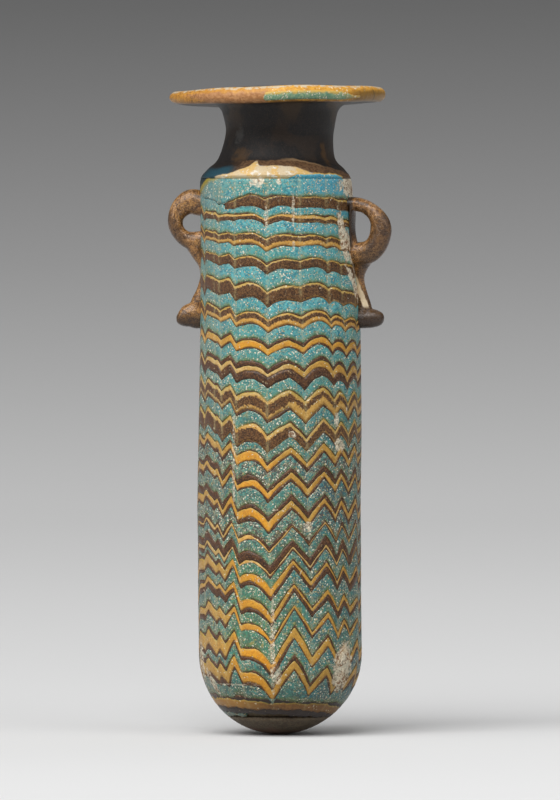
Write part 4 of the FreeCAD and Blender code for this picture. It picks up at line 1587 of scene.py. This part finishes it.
@dataclass
class Rim:
    """The broad rim disc with its yellow edge and the turquoise strip laid along part of it."""

    radius: float = 26.6
    underside: float = 156.4
    top: float = 160.0
    bore: float = 9.0
    mouth_round: float = 1.7
    tilt: float = 0.9  # degrees, higher on the right
    droop: float = 1.2  # how far its front edge hangs
    aside: float = -0.65  # how far it sits to the right of the axis
    # its unevenness up and outwards, as waves of (size, number round the axis, phase)
    warp: tuple[tuple[float, int, float], ...] = ((0.12, 3, 0.7), (0.08, 7, 0.0))
    outline: tuple[tuple[float, int, float], ...] = ((0.16, 4, 1.0), (0.1, 9, 0.3))
    pinch: float = 0.22  # the share of its thickness that the far left end loses
    swell: float = 0.15  # and the share that the front gains
    patch_from: float = -7.0
    patch_to: float = 50.0
    patch_height: float = 157.3
    patch_ends: tuple[float, float] = (0.8, 14.0)  # degrees over which its ends thin out
    patch_least: float = 0.3  # how thick they stay
    trail: float = 0.5  # how far the yellow thread stands out from the disc
    crescent: float = 0.75  # how far in the centre of its inner curve lies
    lips: float = 0.15  # how thick it still is above and below
    neck: float = 15.0
    steps: int = 180

    def build(self, effects: SharedEffects) -> list[bpy.types.Object]:
        """Makes the disc and both of its threads.

        Args:
            effects: the shared shader groups.

        Returns:
            The three pieces.
        """
        yellow, strip = RimGlass().material(effects), RimStripGlass().material(effects)
        return [
            self.piece("rim_disc", "ground_glass", self.disc(), GroundGlass().material(effects)),
            self.piece("rim_yellow_trail", "yellow_glass", self.edge(), yellow),
            self.piece("rim_turquoise_trail", "turquoise_glass", self.patch(), strip),
        ]

    def piece(
        self, name: str, slot: str, bm: bmesh.types.BMesh, finish: bpy.types.Material
    ) -> bpy.types.Object:
        """Tilts and warps a turned shape as the disc is, and puts it on the bottle."""
        mesh = to_mesh(bm, name)
        points = places(mesh)
        write_layer(mesh, "level", (points[:, 2] - self.underside) / (self.top - self.underside))
        turn, reach = polar(points)
        share = ramp(reach, 12, 26)
        points[:, 2] += share * ripple(turn, self.warp)
        uneven = share * ripple(turn, self.outline)
        points[:, :2] *= (1 + uneven / np.maximum(reach, 1))[:, None]
        front = share * np.clip(np.cos(turn), 0, 1)
        pinched = share * np.clip(-np.sin(turn), 0, 1) ** 3
        points[:, 2] -= pinched * (self.pinch * (points[:, 2] - self.underside) - 0.1)
        points[:, 2] += front * (self.swell * (points[:, 2] - self.middle) - self.droop)
        points[:, 2] += points[:, 0] * math.tan(math.radians(self.tilt)) * share
        points[:, 0] += self.aside
        replace_places(mesh, points)
        face_outwards(mesh)
        for layer, value in (("green", 0.6), ("speckle", 0.2), ("warmth", 0.9)):
            write_layer(mesh, layer, np.full(len(points), value))
        made = hand_over(name, mesh, finish)
        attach(made, "root")
        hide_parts(name)
        return made

    @property
    def middle(self) -> float:
        """The height half-way up the disc's edge."""
        return (self.underside + self.top) / 2

    @property
    def half(self) -> float:
        """Half the disc's thickness."""
        return (self.top - self.underside) / 2

    def disc(self) -> bmesh.types.BMesh:
        """The disc itself, with its rounded mouth and edge."""
        centre = self.radius - self.trail - self.half
        edge = arc(centre, self.middle, self.half, np.arange(-90, 91, 15.0))
        lip = self.mouth_round
        mouth = arc(self.bore + lip, self.top - lip, lip, np.arange(90, 181, 18.0))
        inner = [(self.bore, self.underside), (self.neck, self.underside)]
        return lathe(np.array(edge + mouth + inner), self.steps)

    def edge(self) -> bmesh.types.BMesh:
        """The yellow thread round the disc's edge, a crescent in section."""
        turns = np.arange(-100, 101, 12.5)
        centre = self.radius - self.half
        outside = arc(centre, self.middle, self.half, turns)
        inside = arc(centre - self.crescent, self.middle, self.half - self.lips, turns[::-1])
        return lathe(np.array(outside + inside), self.steps)

    def patch(self) -> bmesh.types.BMesh:
        """The turquoise strip on the lower half of the edge, thinning out at both ends."""
        turns = np.arange(-42, 19, 10.0)
        centre = self.radius - self.half
        outside = arc(centre, self.middle, self.half + 0.1, turns)
        inside = arc(centre, self.middle, self.half - 0.3, turns[::-1])
        sweep = self.patch_to - self.patch_from
        bm = lathe(np.array(outside + inside), self.steps // 3, self.patch_from, sweep)
        for vert in bm.verts:
            azimuth = math.degrees(math.atan2(vert.co.x, -vert.co.y))
            first, last = self.patch_ends
            ends = min((azimuth - self.patch_from) / first, (self.patch_to - azimuth) / last)
            share = max(min(ends, 1.0), self.patch_least)
            vert.co.z = self.patch_height + (vert.co.z - self.patch_height) * share
        return bm


@dataclass(frozen=True)
class Station:
    """A point of a handle's coil: out from the axis, up, its half thickness and half width."""

    out: float
    up: float
    thick: float
    wide: float
    turn: float = 0.0  # degrees of azimuth from the handle's own plane


def stations(*rows: tuple[float, ...]) -> tuple[Station, ...]:
    """The stations of a coil, in order."""
    return tuple(Station(*row) for row in rows)


@dataclass
class Handle:
    """A lug handle: a thick coil round an eye, a tail pressed on the body, and a pulled knob."""

    name: str
    azimuth: float
    coils: tuple[tuple[Station, ...], ...]
    sides: int = 20
    grain: float = 0.22  # the voxel that fuses the parts
    evening: int = 8  # rounds of smoothing after it

    def build(self, effects: SharedEffects) -> bpy.types.Object:
        """Sweeps the loop, the tail, the knob and the thin pad at the root on the wall, which
        carries painted shade, and fuses them.

        Args:
            effects: the shared shader groups.

        Returns:
            The handle.
        """
        bm = bmesh.new()
        for coil in self.coils:
            self.sweep(bm, coil)
        bmesh.ops.recalc_face_normals(bm, faces=bm.faces)
        rough = bpy.data.objects.new("rough", to_mesh(bm, "rough"))
        bpy.context.scene.collection.objects.link(rough)
        fuse = rough.modifiers.new("fuse", "REMESH")
        fuse.mode = "VOXEL"
        fuse.voxel_size = self.grain * MM
        even = rough.modifiers.new("even", "SMOOTH")
        even.factor = 0.5
        even.iterations = self.evening
        ready = rough.evaluated_get(bpy.context.evaluated_depsgraph_get())
        mesh = bpy.data.meshes.new_from_object(ready)
        bpy.data.objects.remove(rough)
        piece = hand_over(self.name, mesh, HandleGlass().material(effects))
        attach(piece, "root")
        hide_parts(self.name)
        return piece

    def sweep(self, bm: bmesh.types.BMesh, stations: Sequence[Station]) -> None:
        """Extrudes a round section along the stations.

        Args:
            bm: the mesh that takes the coil, in metres.
            stations: its stations in order.
        """
        rows = smooth_line([(s.out, s.up, s.thick, s.wide, s.turn) for s in stations], 5)
        heading = np.gradient(rows[:, :2], axis=0)
        heading /= np.linalg.norm(heading, axis=1)[:, None]
        made = bmesh.ops.create_circle(bm, cap_ends=True, segments=self.sides, radius=1)
        verts = made["verts"]
        shape = [Vector(v.co) for v in verts]
        face = next(f for f in bm.faces if f.verts[0] in verts)
        self.set_ring(verts, shape, rows[0], heading[0])
        for row, way in zip(rows[1:], heading[1:]):
            grown = bmesh.ops.extrude_face_region(bm, geom=[face])["geom"]
            face = next(g for g in grown if isinstance(g, bmesh.types.BMFace))
            verts = self.matching(face.verts, verts)
            self.set_ring(verts, shape, row, way)

    def matching(
        self, order: Sequence[bmesh.types.BMVert], before: Sequence[bmesh.types.BMVert]
    ) -> list[bmesh.types.BMVert]:
        """The new ring's points in the order of the ring that it grew from."""
        new = set(order)
        matched = []
        for vert in before:
            beside = [edge.other_vert(vert) for edge in vert.link_edges]
            matched.append(next(other for other in beside if other in new))
        return matched

    def set_ring(
        self, verts: Sequence[bmesh.types.BMVert], shape: Sequence[Vector], row: Array, way: Array
    ) -> None:
        """Places one ring square to the coil's way."""
        out, up, thick, wide, turn = row
        spin = Matrix.Rotation(math.radians(self.azimuth + turn), 3, "Z")
        for vert, flat in zip(verts, shape):
            across = Vector((0, 0, 0))
            across.y = -(out + flat.x * thick * -way[1])
            across.z = up + flat.x * thick * way[0]
            across.x = flat.y * wide
            vert.co = (spin @ across) * MM


def left_handle() -> Handle:
    """The left handle, seen from its side in the photograph."""
    loop = stations(
        (16.5, 130.7, 2.9, 2.9), (18.2, 131.1, 3.1, 3.0), (19.9, 131.5, 3.2, 2.8),
        (22.1, 131.8, 3.1, 2.5), (24.3, 130.4, 2.6, 2.2), (25.6, 128.3, 2.05, 2.0),
        (25.8, 126.1, 1.85, 1.9), (25.0, 124.2, 1.8, 1.9), (23.5, 122.8, 2.0, 2.0),
        (21.6, 122.1, 2.35, 2.2), (19.4, 122.1, 2.5, 2.4), (16.8, 122.3, 2.3, 2.3),
    )
    tail = stations(
        (20.9, 121.0, 2.3, 2.1), (19.9, 118.6, 1.8, 2.0), (18.9, 116.0, 1.2, 1.8),
        (18.6, 113.4, 1.1, 1.7), (19.0, 110.8, 1.3, 1.7), (19.4, 109.0, 1.6, 1.8),
        (19.8, 107.3, 2.1, 2.0), (19.9, 105.2, 2.5, 2.1), (19.6, 103.2, 2.3, 2.0),
        (18.9, 101.6, 1.5, 1.7),
    )
    knob = stations(
        (18.2, 103.8, 3.2, 2.2), (20.0, 103.7, 3.3, 2.2), (21.4, 103.7, 3.25, 2.2),
        (22.7, 103.5, 2.9, 2.1), (23.9, 103.1, 2.3, 1.9), (24.9, 102.9, 1.6, 1.5),
        (25.6, 102.9, 0.7, 0.7),
    )
    # a thin pad where the root spreads on the wall, painted dark by its finish as the shade there
    shade_pad = stations(
        (19.0, 130.0, 0.8, 2.0), (18.6, 126.5, 0.6, 1.9), (19.0, 123.0, 0.8, 2.0),
    )
    return Handle("handle_left", -90.0, (loop, tail, knob, shade_pad))


def right_handle() -> Handle:
    """The right handle, turned a little towards the front, with a tall eye."""
    loop = stations(
        (16.0, 131.0, 1.6, 2.5), (18.3, 131.2, 1.65, 2.3), (20.4, 130.9, 1.75, 2.1),
        (22.5, 130.2, 1.75, 2.0), (24.5, 128.7, 1.95, 2.0), (25.8, 126.8, 2.4, 2.1),
        (26.2, 124.8, 2.7, 2.2), (25.9, 122.8, 2.7, 2.2), (24.8, 120.6, 2.75, 2.3),
        (22.8, 119.1, 2.9, 2.3), (20.6, 118.9, 2.8, 2.3), (18.0, 119.1, 2.4, 2.3),
    )
    tail = stations(
        (21.6, 117.8, 2.4, 2.0, 2), (20.6, 115.4, 1.7, 1.7, 4), (20.1, 113.2, 1.3, 1.4, 6),
        (20.1, 111.2, 1.3, 1.3, 8), (20.5, 109.2, 1.4, 1.3, 9), (20.8, 107.4, 1.65, 1.4, 10),
        (21.0, 105.6, 2.0, 1.7, 10), (20.8, 103.8, 2.3, 2.0, 10), (19.8, 102.4, 1.9, 2.0, 10),
    )
    knob = stations(
        (18.4, 102.9, 2.3, 2.2, 10), (20.2, 102.8, 2.4, 2.2, 10), (21.8, 102.8, 2.35, 2.2, 10),
        (23.4, 102.9, 2.3, 2.2, 10), (24.6, 103.0, 2.0, 1.9, 10), (25.5, 103.2, 1.4, 1.3, 10),
        (26.0, 103.3, 0.6, 0.6, 10),
    )
    # a thin pad where the root spreads on the wall, painted dark by its finish as the shade there
    shade_pad = stations(
        (19.0, 131.2, 0.6, 2.4), (18.8, 127.8, 0.55, 2.4), (18.8, 124.2, 0.55, 2.3),
        (19.3, 120.4, 1.0, 2.2),
    )
    return Handle("handle_right", 72.0, (loop, tail, knob, shade_pad))


# ---------------------------------------------------------------- stage


@dataclass(frozen=True)
class Sun:
    """One soft far lamp: where it shines from, its strength and how wide it looks in degrees."""

    name: str
    place: tuple[float, float, float]
    strength: float
    spread: float

    def on(self, normal: Vector) -> float:
        """How brightly it lights a white surface that faces a way."""
        return self.strength / math.pi * max(Vector(self.place).normalized().dot(normal), 0.0)

    def build(self) -> None:
        """Hangs the lamp."""
        data = bpy.data.lights.new(self.name, "SUN")
        data.energy = self.strength
        data.angle = math.radians(self.spread)
        lamp = bpy.data.objects.new(self.name, data)
        bpy.context.scene.collection.objects.link(lamp)
        lamp.rotation_euler = (-Vector(self.place)).to_track_quat("-Z", "Y").to_euler()


@dataclass
class Stage:
    """The pale floor that sweeps up into a backdrop, the soft lamps and the camera."""

    near: float = 4.0
    far: float = 2.6
    bend: float = 1.2
    width: float = 9.0
    height: float = 5.0
    top_grey: float = 102.0  # the background's screen grey at the photograph's top edge
    grey_per_row: float = 0.1675
    lift: tuple[tuple[float, float], ...] = (
        (250, 1.0), (400, 1.08), (520, 1.16), (600, 1.16), (800, 1.09),
    )
    gamma: float = 2.2  # from the screen's grey to the light behind it
    ambient: float = 0.21
    bounce: float = 0.4  # the share of its grey that the sheet throws back on the object
    flat_rows: int = 60
    bend_rows: int = 30
    suns: tuple[Sun, ...] = (
        Sun("key", (-0.4, -0.85, 1.1), 2.75, 50.0),
        Sun("fill_right", (1.0, -0.9, 0.9), 0.65, 50.0),
        Sun("fill_left", (-1.0, -0.4, 0.6), 0.6, 50.0),
        Sun("back", (0.3, 1.0, 0.7), 0.7, 60.0),
    )

    def build(self) -> None:
        """Sets up everything round the object."""
        self.floor()
        self.world()
        for sun in self.suns:
            sun.build()
        self.camera()

    def profile(self) -> list[tuple[float, float]]:
        """Depth and height of the sheet's rows: a flat floor, a round bend and a wall."""
        flat = [(depth, 0.0) for depth in np.linspace(-self.near, self.far, self.flat_rows)]
        turns = np.linspace(0, math.pi / 2, self.bend_rows + 1)[1:]
        bend = [(self.far + self.bend * math.sin(t), self.bend * (1 - math.cos(t))) for t in turns]
        return [*flat, *bend, (self.far + self.bend, self.height)]

    def floor(self) -> None:
        """One sheet: flat under the object, curving up behind it."""
        bm = bmesh.new()
        rows = self.profile()
        corners = [bm.verts.new((side * self.width / 2, *rows[0])) for side in (-1, 1)]
        edge = bm.edges.new(corners)
        for depth, up in rows[1:]:
            grown = bmesh.ops.extrude_edge_only(bm, edges=[edge])["geom"]
            edge = next(g for g in grown if isinstance(g, bmesh.types.BMEdge))
            for vert in edge.verts:
                vert.co.y, vert.co.z = depth, up
        bmesh.ops.recalc_face_normals(bm, faces=bm.faces)
        mesh = to_mesh(bm, "backdrop")
        write_layer(mesh, "grey", np.array([self.grey(v.co) for v in mesh.vertices]))
        hand_over("backdrop", mesh, self.paper())

    def grey(self, place: Vector) -> float:
        """The sheet's own grey at a place, so that it shows the photograph's grey of that row."""
        away = place.y + CAMERA_DISTANCE * MM
        rise = (place.z - EYE_HEIGHT * MM) / max(away, 0.2) * CAMERA_DISTANCE
        row = min(max(PHOTO_HEIGHT / 2 - rise / MM_PER_PIXEL, -100), PHOTO_HEIGHT)
        shown = ((self.top_grey + self.grey_per_row * row) / 255) ** self.gamma
        lean = math.atan2(place.y - self.far, self.bend - place.z) if place.y > self.far else 0.0
        lean = min(max(lean, 0.0), math.pi / 2)
        normal = Vector((0, -math.sin(lean), math.cos(lean)))
        light = self.ambient + sum(sun.on(normal) for sun in self.suns)
        return shown / light * float(np.interp(row, *zip(*self.lift)))

    def paper(self) -> bpy.types.Material:
        """Plain grey paper, darker to the light that it throws back on the object."""
        made = bpy.data.materials.new("backdrop_paper")
        made.use_nodes = True
        g = Graph(made.node_tree)
        shader = made.node_tree.nodes["Principled BSDF"]
        ray = g.fields(g.node("ShaderNodeLightPath"))
        seen = g.most(ray["Is Camera Ray"], ray["Is Glossy Ray"], ray["Is Transmission Ray"])
        share = g.layer("grey") * (seen * (1 - self.bounce) + self.bounce)
        g.feed(shader.inputs["Base Color"], g.mix(share, (0, 0, 0), (255, 255, 255)))
        shader.inputs["Roughness"].default_value = 1.0
        shader.inputs["Specular IOR Level"].default_value = 0.0
        return made

    def world(self) -> None:
        """Even soft light from all round."""
        world = bpy.data.worlds.new("studio")
        bpy.context.scene.world = world
        world.use_nodes = True
        ground = world.node_tree.nodes["Background"]
        ground.inputs["Color"].default_value = (1, 1, 1, 1)
        ground.inputs["Strength"].default_value = self.ambient

    def camera(self) -> None:
        """The photograph's view: level with the middle of its frame, from far off."""
        data = bpy.data.cameras.new("camera")
        data.lens = data.sensor_width * CAMERA_DISTANCE / (PHOTO_HEIGHT * MM_PER_PIXEL)
        data.clip_end = 20.0
        camera = bpy.data.objects.new("camera", data)
        bpy.context.scene.collection.objects.link(camera)
        side = (PHOTO_WIDTH / 2 - AXIS_COLUMN) * MM_PER_PIXEL
        camera.location = (side * MM, -CAMERA_DISTANCE * MM, EYE_HEIGHT * MM)
        camera.rotation_euler = (math.pi / 2, 0, 0)
        bpy.context.scene.camera = camera


def main() -> None:
    """Builds the bottle piece by piece, then its stage."""
    logging.basicConfig(level=logging.INFO, format="%(name)s: %(message)s")
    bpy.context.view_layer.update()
    bpy.context.scene.view_settings.view_transform = "Standard"
    effects = SharedEffects()
    Vessel().build(effects)
    Winder().build(effects)
    Rim().build(effects)
    left_handle().build(effects)
    right_handle().build(effects)
    Stage().build()


if __name__ == "__main__":
    main()
